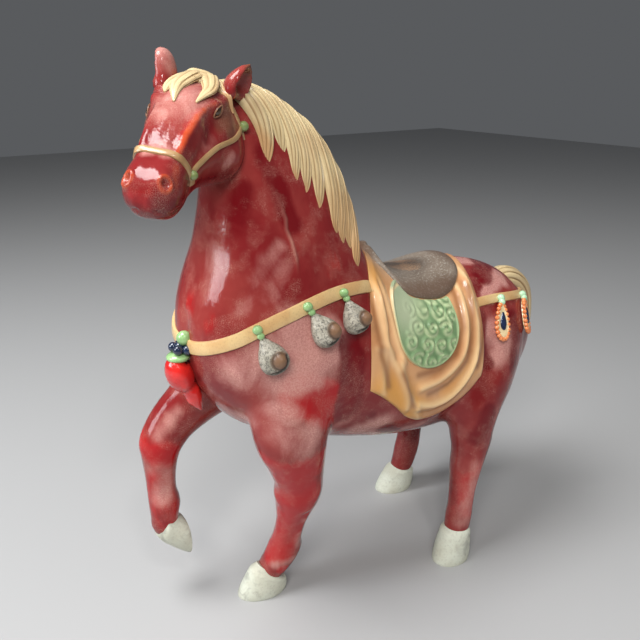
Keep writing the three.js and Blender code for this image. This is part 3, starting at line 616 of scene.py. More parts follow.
# Patches of the glaze on the body: path, reach, strength. Some milky patches are painted highlights, and
# one dark pool is the head's painted shadow on the neck
MILK_AND_HIGHLIGHTS = [
    # milky glaze along the top of the croup, partly a painted highlight
    ([(92, -8, 241), (112, -6, 236)], 8, 0.9),
    ([(126, -28, 221), (128, -22, 223), (98, -39, 219)], 6, 1),
    ([(93, -54, 193), (104, -54, 180), (98, -54, 174)], 11, 0.9),
    ([(114, -54, 176), (112, -53, 186)], 7, 0.8),
    ([(-79, -49, 229), (-67, -52, 213)], 15, 1),
    ([(-88, -46, 203), (-73, -51, 204)], 14, 0.9),
    ([(-95, -44, 221), (-109, -32, 208)], 12, 0.95),
    ([(-65, -51, 220), (-58, -52, 212)], 9, 1),
    ([(-106, -15, 180), (-113, -16, 190), (-99, -14, 168)], 8, 1),
    ([(-117, -17, 204)], 6, 0.8),
    ([(-86, -49, 158), (-91, -45, 165), (-74, -54, 163), (-80, -51, 152)], 10, 0.75),
    ([(-103, -17, 176), (-94, -37, 171)], 8, 0.9),
    ([(-90, -44, 182), (-84, -48, 174)], 9, 0.85),
    ([(-56, -53, 228), (-50, -53, 222)], 9, 0.75),
    # milky glaze down the front of the neck, partly a painted highlight
    ([(-107, -13, 275), (-110, -17, 262), (-114, -15, 248)], 7, 1),
    # a painted highlight along the front edge of the right forearm
    ([(-128, 26, 158), (-142, 28, 143)], 6, 0.5),
    ([(-92, -35, 272), (-83, -36, 280), (-97, -34, 263)], 6, 0.5),
    ([(-92, -40, 253), (-82, -38, 270)], 8, 0.4),
    ([(-119, -12, 235), (-111, -28, 240), (-104, -34, 246)], 6, 0.7),
    ([(-64, -26, 80), (-60, -26, 76)], 4, 0.7),
    ([(-62, -18, 60), (-61, -14, 46)], 4, 0.85),
    ([(-64, -12, 35), (-74, -8, 31)], 5, 0.8),
    ([(-144, 35, 118), (-139, 30, 113), (-142, 30, 96)], 9, 0.65),
    ([(-132, 30, 74)], 6, 0.6),
    ([(-40, -52, 158), (-48, -48, 150)], 7, 0.5),
    ([(-3, -33, 132), (-24, -39, 145), (-7, -45, 146)], 9, 0.75),
    ([(21, -38, 130), (34, -40, 130)], 8, 0.7),
    ([(72, -55, 64), (76, -59, 90), (70, -57, 37)], 7, 0.7),
    ([(-70, -20, 352)], 8, 0.2),
    ([(73, -53, 128)], 7, 0.5),
    ([(96, 50, 182)], 16, 0.8),
    ([(-84, 48, 205)], 20, 0.8),
    ([(120, 30, 224)], 12, 0.7),
    ([(-60, 40, 262)], 12, 0.6),
    ([(-40, 50, 170)], 10, 0.5),
    ([(150, 12, 196)], 9, 0.6),
]
POOLS_AND_SHADOW = [
    ([(-42, -53, 213), (-40, -54, 200), (-41, -53, 184), (-43, -49, 166)], 10, 1),
    ([(-113, -26, 198), (-107, -30, 193), (-101, -33, 187), (-95, -35, 176)], 3.4, 1),
    ([(-84, -24, 332), (-78, -29, 314), (-73, -34, 292)], 8, 0.7),
    # the head's painted shadow on the neck under the jaw
    ([(-97, -22, 312), (-101, -22, 298), (-102, -21, 284), (-104, -22, 270)], 8, 0.7),
    ([(104, -28, 229), (116, -14, 229), (121, -8, 230)], 9, 1),
    ([(90, -38, 224), (94, -34, 226)], 6, 0.9),
    ([(83, -51, 206), (79, -59, 188), (86, -58, 170)], 6.5, 0.95),
    ([(112, -57, 162), (120, -50, 200)], 7, 0.8),
    ([(134, -44, 176)], 8, 0.8),
    ([(75, -57, 114), (83, -61, 131), (72, -49, 130)], 9, 0.95),
    ([(10, -36, 131), (0, -41, 137)], 8, 0.8),
    ([(-21, -48, 157)], 5, 0.7),
    ([(56, -40, 126)], 10, 0.9),
    ([(112, 52, 110), (112, 52, 60)], 14, 0.75),
    ([(-50, -30, 118)], 7, 0.7),
    ([(-108, -8, 300), (-108, -9, 286)], 5, 0.5),
    ([(-108, 4, 250)], 10, 0.4),
    ([(-48, 52, 190)], 12, 0.8),
    ([(70, 52, 180)], 14, 0.8),
    ([(130, 44, 170)], 9, 0.8),
]
BRIGHT = [
    ([(-78, -49, 189), (-66, -51, 181), (-56, -52, 174)], 13, 1),
    ([(-90, -35, 143), (-80, -46, 134), (-64, -46, 134)], 11, 1),
    ([(-78, -36, 126), (-72, -34, 104), (-70, -25, 86)], 16, 1),
    ([(-70, -15, 72), (-72, -8, 44)], 11, 1),
    ([(-70, -11, 26)], 4, 1),
    ([(-134, -6, 268), (-134, -6, 244)], 9, 0.5),
    ([(-116, -21, 236)], 9, 0.7),
    ([(-109, -28, 249)], 6, 0.6),
    ([(-144, 40, 134), (-138, 30, 128)], 9, 1),
    ([(-142, 34, 110), (-140, 34, 90), (-134, 34, 72)], 12, 0.45),
    ([(76, -59, 80), (72, -58, 50)], 12, 0.5),
    ([(-98, -28, 258)], 6, 0.5),
    ([(-88, 44, 150)], 14, 0.7),
    ([(-44, -46, 262)], 14, 0.35),
    ([(-70, 44, 240)], 14, 0.6),
    ([(104, 58, 164)], 12, 0.6),
]
THIN = [
    ([(-122, -14, 206), (-112, -20, 190)], 4, 0.35),
    ([(-96, -44, 214)], 5, 0.25),
    ([(70, -49, 47)], 3, 0.6),
]
MILK_FIRMNESS = 1.8
BRIGHT_FIRMNESS = 2.0
PALE_LINES = [path for path, _, lift in FINE_LINES if lift > 0]
PALE_LINE_WIDTH = 0.9


def glaze_body(piece):
    points = points_of(piece)
    paint(piece, "milk_and_highlight", patches(points, MILK_AND_HIGHLIGHTS, MILK_FIRMNESS))
    paint(piece, "pool_and_shadow", patches(points, POOLS_AND_SHADOW))
    paint(piece, "bright", patches(points, BRIGHT, BRIGHT_FIRMNESS))
    paint(piece, "thin", patches(points, THIN))
    paint(piece, "line", bump(distance_to_any(points, PALE_LINES), PALE_LINE_WIDTH))


# Head: skull, ears and features in one skin

HEAD_RINGS = 60
HEAD_SIDES = 48
HEAD_VOXEL = 0.8
HEAD_ROUNDS = 9
FACE_ROUNDS = 2

# Ears, in the head's own directions: foot and tip, half-breadths along the ear, rim and hollow
EARS = {
    LEFT: ((-4, 18.5, -9), (-14, 27.2, 7.2)),
    RIGHT: ((-4, -19.5, -7), (-13.5, -24.5, 10.5)),
}
EAR_SIDES = 40
EAR_RINGS = 26
EAR_BREADTH = {LEFT: 10, RIGHT: 9.2}
EAR_DEPTH = 7.4
EAR_TAPER = {
    LEFT: [0.8, 0.94, 1, 0.96, 0.84, 0.67, 0.45, 0.1],
    RIGHT: [0.84, 0.94, 1, 1, 0.97, 0.9, 0.78, 0.6],
}
EAR_TIP_ROUNDING = 10
EAR_TIP_LEAST = 0.02
EAR_FACING = (0.26, 0.96)
EAR_RIM = 0.55
EAR_HOLLOW = {LEFT: 0.85, RIGHT: 0.5}
EAR_DISH = 0.7
HOLLOW_BEGINS = (0.1, 0.35)
HOLLOW_ENDS = (0.72, 0.94)

EYES = {LEFT: (22.2, 19.8, -3.2), RIGHT: (22.2, -19.8, -8)}
NOSTRIL = (84.5, 9.5, -5.5)
NOSTRIL_RIM = (85, 9.5, -5.5)
NOSTRIL_FACING = (0.62, 0.42, 0.66)
CHEEK_LINE = [(33, 17, -3.5), (38, 18, -6), (44, 19, -8), (51, 19, -9)]
RING_POINTS = 17


def ring_round(centre, facing, radius, stretch):
    """A ring of points round a spot that faces a way, drawn longer up and down."""
    centre = np.array(centre, float)
    out = unit(facing)
    side = unit(np.cross(out, (0, 0, 1)))
    over = np.cross(side, out)
    turn = np.linspace(0, 2 * math.pi, RING_POINTS)
    ring = ring_of(centre, side, radius, over, radius * stretch, turn)
    return [tuple(float(value) for value in point) for point in ring]


# Face relief, in the head's own directions, for the left and mirrored: path, reach, height
FACE = [
    ([(6, 19, -3), (13, 19.5, -1), (19, 17, 0)], 4.2, 5.0),
    ([(24, 14, 1.5), (33, 12, 0.8), (42, 11, 0), (53, 10, -1), (64, 10, -2)], 2.8, 2.0),
    ([(24, 21, -5)], 4.5, -2.6),
    ([(34, 17, -8), (46, 16, -10), (58, 15, -12)], 5.5, -2.0),
    ([(20, 25, -30)], 14, 1.8),
    ([(38, 20, -20), (48, 19, -17), (60, 17, -15)], 4, 0.7),
    (CHEEK_LINE, 1.1, 0.7),
    ([(18, 23, -14), (28, 22, -13)], 4, 0.6),
    (ring_round(NOSTRIL, NOSTRIL_FACING, 2.8, 1.3), 1.4, 1.1),
    ([NOSTRIL], 1.9, -3.0),
    ([(90, 5, -19), (84, 12, -22), (76, 15.5, -23), (68, 16, -22)], 1.4, -0.9),
    ([(88, 4, -25), (82, 9, -28)], 4, 0.6),
    ([(66, 15, -20)], 5, -0.8),
    ([(72, 0, -2), (82, 0, -3)], 6, -0.8),
    ([(30, 0, 6), (46, 0, 5), (60, 0, 3)], 7, -0.5),
    ([(6, 24, -44), (22, 20, -50), (36, 16, -44)], 4, 0.9),
]
RIGHT_BROW = ([(8, -21, -3), (17, -23, -2), (26, -21, -3)], 6.5, 5.5)


def ear_form(side):
    foot, tip = (np.array(spot, float) for spot in EARS[side])
    share = np.linspace(0, 1, EAR_RINGS)
    size = value_at(EAR_TAPER[side], share * (len(EAR_TAPER[side]) - 1))
    size = size * np.sqrt(1 - share ** EAR_TIP_ROUNDING) + EAR_TIP_LEAST
    axis = unit(tip - foot)
    hollow_way = np.array([EAR_FACING[0], EAR_FACING[1] * side, 0])
    hollow_way = unit(hollow_way - axis * (hollow_way @ axis))
    broad_way = unit(np.cross(axis, hollow_way))
    turn = full_turn(EAR_SIDES)
    rim_half = math.cos(math.asin(EAR_RIM))
    dish = np.clip(1 - (np.cos(turn) / rim_half) ** 2, 0, 1) ** EAR_DISH * (np.sin(turn) > 0)
    rings = []
    for place, scale in zip(share, size):
        press = ease(place, *HOLLOW_BEGINS) * (1 - ease(place, *HOLLOW_ENDS))
        level = np.minimum(np.sin(turn), EAR_RIM) - EAR_HOLLOW[side] * press * dish
        aside = (EAR_BREADTH[side] * scale * np.cos(turn))[:, None] * broad_way
        out = (EAR_DEPTH * scale * level)[:, None] * hollow_way
        rings.append(from_head(foot + (tip - foot) * place + aside + out))
    return loft("ear_form", rings)


def head():
    places = np.linspace(0, len(HEAD_RIBS) - 1, HEAD_RINGS)
    turns = np.linspace(0, 360, HEAD_SIDES, endpoint=False)
    skull = loft("skull", from_head(bare_head(places[:, None], turns[None, :])))
    piece = join("horse_head", [skull, ear_form(LEFT), ear_form(RIGHT)])
    remesh(piece, HEAD_VOXEL)
    soften(piece, HEAD_ROUNDS)
    carve(piece, both(FACE) + [RIGHT_BROW], into_head)
    soften(piece, FACE_ROUNDS)
    smooth_shade(piece)
    return piece


# Patches of the glaze on the head, in its own directions: on both sides, then on one side only
HEAD_GLAZE = {
    "thin": ([
        ([(72, 12, -3), (78, 13.5, -5), (82, 14, -8)], 3.0, 0.42),
        (ring_round(NOSTRIL_RIM, NOSTRIL_FACING, 3.0, 1.3), 1.5, 0.55),
    ], [
        ([(3, 22, -6), (-2, 25, 1), (-6, 29, 8), (-11, 30, 12), (-17, 28, 12)], 1.6, 0.9),
        ([(0, -18, -6), (-4, -16, -2)], 5, 0.6),
        ([(9, 21, 2), (16, 20, 3)], 3.6, 0.85),
        ([(16, 20, 3), (22, 17, 3), (29, 13.5, 3)], 2.8, 0.7),
        ([(29, 13.5, 3), (36, 11.5, 2), (44, 11, 1.5), (54, 10, 0.5), (64, 10, -1)], 2.0, 0.62),
        ([(80, -13, -6), (86, -9, -4)], 3, 0.5),
    ]),
    "milk_and_highlight": ([
        ([(14, 0, 6), (26, 5, 5), (34, 5, 4)], 12, 0.5),
        ([(62, 0, 2), (67, 5, 1)], 5, 0.5),
        ([(36, 18, -12), (44, 18, -11)], 6, 0.35),
        ([(34, 24, -28), (28, 26, -26)], 4, 0.5),
    ], [
        ([(-9, -20, 2), (-13, -22, 8)], 10, 0.6),
        ([(-5, 15, 0)], 4, 0.5),
    ]),
    "pool_and_shadow": ([
        ([(84, 6, -20), (78, 10, -27)], 10, 1),
        ([(86, 0, -24), (76, 0, -31)], 9, 1),
        ([(34, 20, -36), (46, 16, -32), (60, 14, -28)], 9, 0.7),
        ([(30, 17, -6), (40, 16, -8)], 5, 0.6),
        ([(14, 26, -40), (0, 26, -40)], 9, 0.6),
    ], []),
    "bright": ([], [
        ([(89, -3, -19), (86, -6, -24), (80, -4, -30)], 12, 0.5),
        ([(20, 15, 4), (38, 9, 4), (60, 9, 1)], 4, 0.35),
    ]),
    "brown": ([
        ([(26, 22, -7), (12, 22, -8), (20, 23, -14)], 5.5, 0.9),
        ([(67, 17, -14), (72, 15, -18)], 5.5, 0.75),
        ([(60, 16, -18), (40, 22, -16)], 4, 0.4),
    ], [
        ([(-4, 25, -3), (-9, 29, 0), (-12, 29, 4)], 5.5, 1),
    ]),
    "line": ([], [
        (CHEEK_LINE, 0.9, 0.5),
    ]),
}


def glaze_head(piece):
    own = into_head(points_of(piece))
    for name, (two_sided, one_sided) in HEAD_GLAZE.items():
        paint(piece, name, patches(own, both(two_sided) + one_sided))


# Eyes: a ball between two lids

EYE_SLANT = (0.92, -0.38)
EYE_SIDES = 32
EYE_RINGS = 12
EYE_LENGTH = 2.5
EYE_HEIGHT = 1.9
EYE_BULGE = 1.4
EYE_PROUD = 0.2
EYE_TOP = 0.05
EYE_LOWEST_TILT = -20
LID_LENGTH = 2.7
LID_CORNER = 1.2
LID_HEIGHT = 2.1
LID_PROUD = 0.8
LID_CORNER_DROP = 0.5
LID_THICKNESS = 0.5
LID_SIDES = 10


def eyeball(name, spot, normal, along, across):
    turn = full_turn(EYE_SIDES)
    rings = []
    for tilt in np.radians(np.linspace(90, EYE_LOWEST_TILT, EYE_RINGS)):
        flat = math.cos(tilt)
        ring = ring_of(spot, along, EYE_LENGTH * flat, across, EYE_HEIGHT * flat, turn)
        rings.append(ring + normal * (EYE_BULGE * math.sin(tilt) + EYE_PROUD))
    rings[0] = ring_of(rings[0], along, EYE_TOP, across, EYE_TOP, turn)
    piece = loft(name, rings)
    smooth_shade(piece)
    return piece


def eyelids(name, spot, normal, along, across):
    """A rounded rim round the ball, drawn out and down at its two corners."""
    turn = full_turn(EYE_SIDES)
    pointed = np.abs(np.cos(turn)) ** 3
    lid = ring_of(spot, along, LID_LENGTH + LID_CORNER * pointed, across, LID_HEIGHT, turn)
    lid = lid + normal * (LID_PROUD - LID_CORNER_DROP * pointed)[:, None]
    section = full_turn(LID_SIDES)
    rims = []
    for corner, away in zip(lid, unit(lid - spot)):
        rims.append(ring_of(corner, away, LID_THICKNESS, normal, LID_THICKNESS, section))
    rims = np.array(rims + rims[:1])
    piece = grid_piece(name, np.concatenate([rims, rims[:, :1]], axis=1))
    edit_all(piece, weld, turn_outward)
    smooth_shade(piece)
    return piece


def eye_pieces(side, tree):
    spot, normal = settle_on(tree, from_head(EYES[side]))
    along = EYE_SLANT[0] * HEAD_AXES[0] + EYE_SLANT[1] * HEAD_AXES[2]
    along = unit(along - normal * (along @ normal))
    across = unit(np.cross(normal, along))
    ball_piece = eyeball("eye_" + SIDE_NAMES[side], spot, normal, along, across)
    lids = eyelids("eyelids_" + SIDE_NAMES[side], spot, normal, along, across)
    return ball_piece, lids


# Hooves: a flared wall between coronet and sole, with a rounded sole edge

HOOF_SIDES = 40
HOOF_RINGS = 28
HEEL_SHORTER = 0.16
HEEL_NARROWER = 0.08

# Rings of the wall: depth from coronet to sole, and shares of the half-length and half-breadth
HOOF_WALL = [
    (-0.14, 0.5, 0.6), (-0.04, 0.64, 0.78), (0.05, 0.75, 0.88), (0.25, 0.83, 0.92), (0.5, 0.92, 0.97),
    (0.75, 0.985, 1), (0.9, 1, 1), (0.975, 0.985, 0.985), (1, 0.95, 0.95), (1, 0.6, 0.6), (1, 0.2, 0.2),
]

# A swelling on each flank of a hoof, from far out and forward to lower down and nearer the middle
FLANK_OUT = (0.9, 0.6)
FLANK_FORWARD = 4
FLANK_LOWER = 5
FLANK_REACH = 5
FLANK_HEIGHT = 0.5


def hoof(name):
    coronet, sole, toe, down, long, broad, tilt = HOOVES[name]
    toward = unit(toe)
    axis = unit(down)
    side = unit(np.cross(toward, axis))
    coronet = np.array(coronet, float)
    sole = np.array(sole, float)
    turn = full_turn(HOOF_SIDES)
    heel = np.clip(-np.cos(turn), 0, 1) ** 2
    rings = []
    for depth, length, breadth in smooth_rows(HOOF_WALL, HOOF_RINGS):
        depth = min(depth, 1)
        centre = coronet + (sole - coronet) * depth
        half_length = long * length * (1 - HEEL_SHORTER * heel)
        half_breadth = broad * breadth * (1 - HEEL_NARROWER * heel)
        ring = ring_of(centre, toward, half_length, side, half_breadth, turn)
        rings.append(ring - (np.cos(turn) * tilt * (1 - depth))[:, None] * axis)
    piece = loft("hoof_" + name, rings)
    middle = (coronet + sole) / 2
    flanks = []
    for out in (-side * broad, side * broad):
        upper = middle + out * FLANK_OUT[0] + toward * FLANK_FORWARD
        lower = middle + out * FLANK_OUT[1] + axis * FLANK_LOWER
        flanks.append(([upper, lower], FLANK_REACH, FLANK_HEIGHT))
    carve(piece, flanks)
    keep_above_ground(piece)
    smooth_shade(piece, 50)
    return piece


def keep_above_ground(piece):
    points = points_of(piece)
    points[:, 2] = np.maximum(points[:, 2], 0)
    move_points(piece, points)


# Hair: each lock is a leaf laid on the surface, with carved strands

LOCK_COLUMNS = 21
LOCK_ROWS = 54
LOCK_POINT = 5.5
LOCK_LEAST = 0.004
LOCK_SWAY = 0.10
LOCK_WAVES = 1.3
LOCK_HEIGHT = 1.4
LOCK_CROWN = 3.2
LOCK_OVERLAP = 0.9
LOCK_STRANDS = 3.5
LOCK_GROOVE = 1.5
LOCK_WALL = 4.2

# Locks of the mane: rib of the root, rib of the tip, degrees its tip hangs down, half-width in ribs
MANE_LOCKS = [
    (15.7, 13.3, 78, 0.7), (15.15, 12.9, 60, 0.6), (14.6, 12.15, 63, 0.5), (14.05, 11.75, 59, 0.5),
    (13.45, 11.25, 56, 0.5), (12.75, 10.45, 55, 0.52), (12.0, 10.1, 54, 0.5), (11.2, 9.75, 50, 0.5),
    (10.3, 9.3, 53, 0.46),
]
MANE_START = -17

# The ground under the locks: first and last rib, and how far down it reaches at some ribs
UNDER_ROWS = 90
UNDER_COLUMNS = 30
UNDER_RUN = (16.15, 9.6)
UNDER_RIBS = [9.3, 11, 13, 16.2]
UNDER_HANGS = [24, 30, 34, 44]
UNDER_SLANT = -0.9
UNDER_GROOVES = 3.0
UNDER_WALL = 4


def leaf_width(fall, point):
    return np.clip(1 - fall ** point, 0, 1) ** 0.8


def strand_relief(across, strands, depth):
    return -depth * np.clip(np.cos(across * strands * math.pi), 0, 1) ** 2


def mane_lock(index):
    root, tip, hang, breadth = MANE_LOCKS[index]
    across = np.linspace(-1, 1, LOCK_COLUMNS)[None, :]
    fall = np.linspace(0, 1, LOCK_ROWS)[:, None]
    width = breadth * leaf_width(fall, LOCK_POINT) + LOCK_LEAST
    sway = LOCK_SWAY * np.sin(LOCK_WAVES * 2 * math.pi * fall + index)
    place = root + (tip - root) * fall ** 1.25 + width * across + sway * fall * (1 - fall)
    drop = MANE_START + (hang - MANE_START) * fall ** 0.92
    crown = np.sqrt(np.clip(1 - across ** 2, 0, 1))
    height = LOCK_HEIGHT + LOCK_CROWN * crown * np.sin(math.pi * (0.14 + 0.76 * fall))
    height = height + LOCK_OVERLAP * across * (1 - fall)
    strands = strand_relief(across + 0.12, LOCK_STRANDS, LOCK_GROOVE)
    height = height + strands * (0.4 + 0.6 * np.sin(math.pi * fall))
    height = height * (1 - 0.9 * ease(fall, 0.8, 1)) - 0.6 * ease(fall, 0.9, 1)
    points, _ = on_trunk(place, drop, height)
    piece = grid_piece(f"mane_lock_{index}", points)
    thicken(piece, LOCK_WALL)
    return piece


def under_mane():
    place = np.linspace(*UNDER_RUN, UNDER_ROWS)[:, None]
    share = np.linspace(0, 1, UNDER_COLUMNS)[None, :]
    end = np.interp(place, UNDER_RIBS, UNDER_HANGS)
    drop = MANE_START - 3 + (end - MANE_START) * share
    grooves = 0.5 * np.cos((place + 0.4 * share) * 2 * math.pi * UNDER_GROOVES)
    height = 1.5 + 1.2 * np.sin(math.pi * np.clip(share * 1.1, 0, 1)) + grooves * np.sin(math.pi * share)
    height = height * ease(share, 0, 0.12) * (1 - ease(share, 0.85, 1)) + 0.2
    points, _ = on_trunk(place + UNDER_SLANT * share, drop, height)
    piece = grid_piece("mane_under", points)
    thicken(piece, UNDER_WALL)
    return piece


def mane():
    locks = [mane_lock(index) for index in range(len(MANE_LOCKS))]
    piece = join("mane", locks + [under_mane()])
    smooth_shade(piece, 50)
    return piece


# Forelock: lines over the brow: reach, left, lift over the head, half-thickness, half-breadth
FORELOCK = [
    [
        (-9, -1, -1, 3, 4), (-3, -4, 1.2, 2.8, 5), (4, -9, 1.3, 2.4, 4.6), (11, -12, 0.9, 1.9, 3.2),
        (18, -12, 0.3, 0.6, 0.6),
    ],
    [
        (-9, 0, -1, 3, 5), (-3, -0.5, 2, 3, 6), (6, -3, 2, 2.7, 5.6), (16, -5.5, 1.1, 2.1, 4),
        (29, -3.2, 0.3, 0.6, 0.6),
    ],
    [
        (-9, 3, -1, 3, 5), (-4, 4, 2, 2.8, 5.6), (4, 8, 1.8, 2.5, 5), (13, 10, 1.1, 2, 3.8),
        (26, 7.6, 0.3, 0.6, 0.6),
    ],
    [
        (-9, 7, -1, 3, 4.6), (-3, 10, 1.2, 2.6, 4.2), (2, 14, 1, 2, 3.2), (5, 18, 0.6, 1.4, 2.2),
        (7, 21.5, 0.2, 0.5, 0.6),
    ],
    [
        (-10, -8, -1, 2, 5), (-5, -7, 0.8, 3, 6), (-1, -3, 1.6, 3, 7), (-1, 4, 1.6, 3, 6),
        (-4, 10, 0.8, 2.4, 4),
    ],
]
FORELOCK_POINTS = 16
FORELOCK_RINGS = 40
FORELOCK_SIDES = 36
FORELOCK_STRANDS = 7
FORELOCK_GROOVE = 0.2
ABOVE_FACE = 60


def grooved(strands, depth):
    """Gives the share of a lock's radius, with grooves that run out at its two ends."""
    def share(along, turn):
        groove = np.clip(np.cos(turn * strands), 0, 1) ** 3
        return 1 - depth * groove * np.sin(math.pi * np.clip(along, 0.03, 0.97))
    return share


def over_head(tree, reach, left, lift):
    """A place over the face, found by looking down on the head."""
    above = Vector(from_head((reach, left, ABOVE_FACE)))
    spot, normal, _, _ = tree.ray_cast(above, Vector(-HEAD_AXES[2]))
    return np.array(spot) + np.array(normal) * lift


def forelock(tree):
    """Four locks that fall over the brow, and a last one that lies across their roots."""
    shape = grooved(FORELOCK_STRANDS, FORELOCK_GROOVE)
    locks = []
    for index, rows in enumerate(FORELOCK):
        rows = smooth_rows(rows, FORELOCK_POINTS)
        centres = [over_head(tree, *row[:3]) for row in rows]
        rows = np.concatenate([centres, rows[:, 3:]], axis=1)
        wide = HEAD_AXES[0] if index == len(FORELOCK) - 1 else HEAD_AXES[1]
        locks.append(tube(f"forelock_{index}", rows, FORELOCK_RINGS, FORELOCK_SIDES, wide, shape))
    piece = join("forelock", locks)
    smooth_shade(piece, 50)
    return piece


TAIL_RINGS = 110
TAIL_SIDES = 96
TAIL_STRANDS = 6
TAIL_TWIST = 2.2
TAIL_GROOVE = 0.17


def tail():
    def share(along, turn):
        strands = np.abs(np.cos(turn * TAIL_STRANDS + TAIL_TWIST * along))
        fading = np.sin(math.pi * np.clip(along + 0.06, 0.05, 0.98))
        return 1 - TAIL_GROOVE * (1 - strands) ** 2 * fading

    rows = np.array([(x, y, z, half, half) for x, y, z, half in TAIL_RUN])
    piece = tube("tail", rows, TAIL_RINGS, TAIL_SIDES, ACROSS, share)
    smooth_shade(piece)
    return piece


# Saddle blanket: front and rear edge in ribs at the top and at the hem, and its bow between them

CLOTH_FRONT = (8.08, 8.28, 0.48)
CLOTH_REAR = (4.35, 5.0, 0.14)
CLOTH_HEM = [106, 108, 113, 121, 124, 121, 115, 108, 99]
CLOTH_LENGTH = 110
CLOTH_HANG = 100
CLOTH_LIFT = 2.6
CLOTH_LEAST = 0.4
CLOTH_EDGE = 2.2
CLOTH_WALL = 3.4
CLOTH_ROWS = 120
CLOTH_COLUMNS = 190

# Folds of the blanket seen from the side: x z path, half-width, height
FOLDS = [
    ([(-9, 262), (-11, 240), (-14, 214), (-16, 190), (-17, 172)], 3.6, 1.7),
    ([(-11, 246), (-10, 222), (-12, 206), (-5, 188), (3, 166), (5, 156)], 3.0, 2.0),
    ([(-20, 206), (-14, 205), (-8, 200)], 2.4, 1.2),
    ([(-2, 192), (3, 173), (12, 156), (20, 143)], 3.4, 2.4),
    ([(-3, 246), (-3, 222), (-2, 205), (2, 192)], 3.0, 1.6),
    ([(72, 236), (69, 226), (64, 203), (55, 184), (36, 173), (16, 170)], 3.0, 2.8),
    ([(84, 236), (78, 222), (74, 201), (65, 175), (47, 158), (29, 154), (14, 158)], 3.6, 3.9),
    ([(92, 214), (86, 190), (78, 168)], 3.0, 1.2),
    ([(-16, 250), (-16, 225), (-17, 200), (-14, 178)], 2.4, -1.0),
    ([(78, 214), (70, 188), (56, 170), (36, 162)], 2.6, -1.2),
]
FOLD_POINTS = 20
FOLD_TOP = 258
SMOOTH_FOLDS = [(smooth_rows(path, FOLD_POINTS), reach, lift) for path, reach, lift in FOLDS]


# Saddle seat: a dished oval with a rolled rim, drawn up to the withers in front

SEAT_MIDDLE = 6.12
SEAT_REAR = 1.42
SEAT_FRONT = 2.14
SEAT_HALF_TURN = 42
SEAT_RIM = 2.6
SEAT_POMMEL = 4
SEAT_RELIEF = 0.9
SEAT_SUNK = -0.8
SEAT_SIDES = 160


def seat_taper(ahead):
    """How narrow the seat is at a share of its reach ahead of the middle."""
    return 1 - 0.55 * ease(ahead, 0.35, 0.8)


def seat_share(place, drop):
    """How far out across the seat a place of the trunk is: 1 at the seat's edge."""
    ahead = (place - SEAT_MIDDLE) / np.where(place > SEAT_MIDDLE, SEAT_FRONT, SEAT_REAR)
    return np.hypot(ahead, drop / SEAT_HALF_TURN / seat_taper(ahead))


def fold_height(points):
    seen = points[..., [0, 2]]
    height = np.zeros(points.shape[:-1])
    for path, reach, lift in SMOOTH_FOLDS:
        height += lift * bump(distance_to_path(seen, path), reach)
    return ease(FOLD_TOP - points[..., 2], 0, 26) * ease(np.abs(points[..., 1]), 20, 33) * height


def blanket():
    front = np.linspace(0, 1, CLOTH_ROWS)[:, None]
    side = np.linspace(-1, 1, CLOTH_COLUMNS)[None, :]
    depth = np.abs(side)
    edges = []
    for top, low, bow in (CLOTH_FRONT, CLOTH_REAR):
        edges.append(top + (low - top) * depth + bow * np.sin(math.pi * depth))
    place = edges[0] + (edges[1] - edges[0]) * front
    drop = value_at(CLOTH_HEM, front * (len(CLOTH_HEM) - 1)) * side
    bare, _ = on_trunk(place, drop)
    rim = np.minimum(np.minimum(front, 1 - front) * CLOTH_LENGTH, (1 - depth) * CLOTH_HANG)
    settled = ease(front * CLOTH_LENGTH, 0, 8)
    folds = fold_height(bare) * ease(rim, 0, 5) * settled * ease(seat_share(place, drop), 1, 1.16)
    cloth = (CLOTH_LIFT - CLOTH_LEAST) * rounded_edge(rim, CLOTH_EDGE) * (0.3 + 0.7 * settled)
    points, _ = on_trunk(place, drop, CLOTH_LEAST + cloth + folds)
    piece = grid_piece("blanket", points)
    thicken(piece, CLOTH_WALL)
    smooth_shade(piece)
    return piece


# Flaps: plates under the saddle with raised spirals, drawn as seen from the side

FLAP_MIDDLE = 28
FLAP_HALF = 29
FLAP_BEND = 210
FLAP_DROP = 28
FLAP_RISE = 28
FLAP_HEART = 208
FLAP_RADIUS = 28
FLAP_SIDES = 260
FLAP_HEIGHT = 2.0
FLAP_BORDER = 0.7
FLAP_UNDER_SEAT = 0.8
FLAP_SUNK = 0.5

# Spirals: middle x z, and the angle at which each starts
SPIRALS = [
    (23, 198.5, 0.6), (36, 196, 2.4), (31, 208, 5.2), (18.5, 210, 1.0), (28.5, 219.5, 3.8),
    (43.5, 205, 0.2), (41.5, 216.5, 4.6), (52.5, 212.5, 2.0), (53, 224, 5.4), (48, 195, 3.2),
    (25, 186.5, 4.2), (37.5, 184.5, 1.4), (12.5, 191, 2.8), (9, 203, 5.8), (15, 222, 0.8),
    (39, 228, 3.0),
]
SPIRAL_TURNS = 1.35
SPIRAL_RADIUS = 5.4
SPIRAL_STRETCH = 1.2
SPIRAL_POINTS = 26
SPIRAL_REACH = 1.5
SPIRAL_HEIGHT = 1.25
PLAIN_CORNER = [(2, 240), (10, 222), (20, 236)]
PLAIN_REACH = 13

# The search for a place of the trunk seen from the side: where it starts, its rounds and its steps
SEARCH_PLACE = 6.6
SEARCH_DROP = 70.0
SEARCH_ROUNDS = 14
SEARCH_RIB_SPACING = 29
SEARCH_DROP_SHARE = 0.8
SEARCH_DROPS = (20, 125)


def spiral_path(x, z, start, way):
    turn = np.linspace(0.15, 1, SPIRAL_POINTS)
    radius = SPIRAL_RADIUS * turn
    angle = start + way * turn * SPIRAL_TURNS * 2 * math.pi
    return np.stack([x + SPIRAL_STRETCH * radius * np.cos(angle), z + radius * np.sin(angle)], -1)


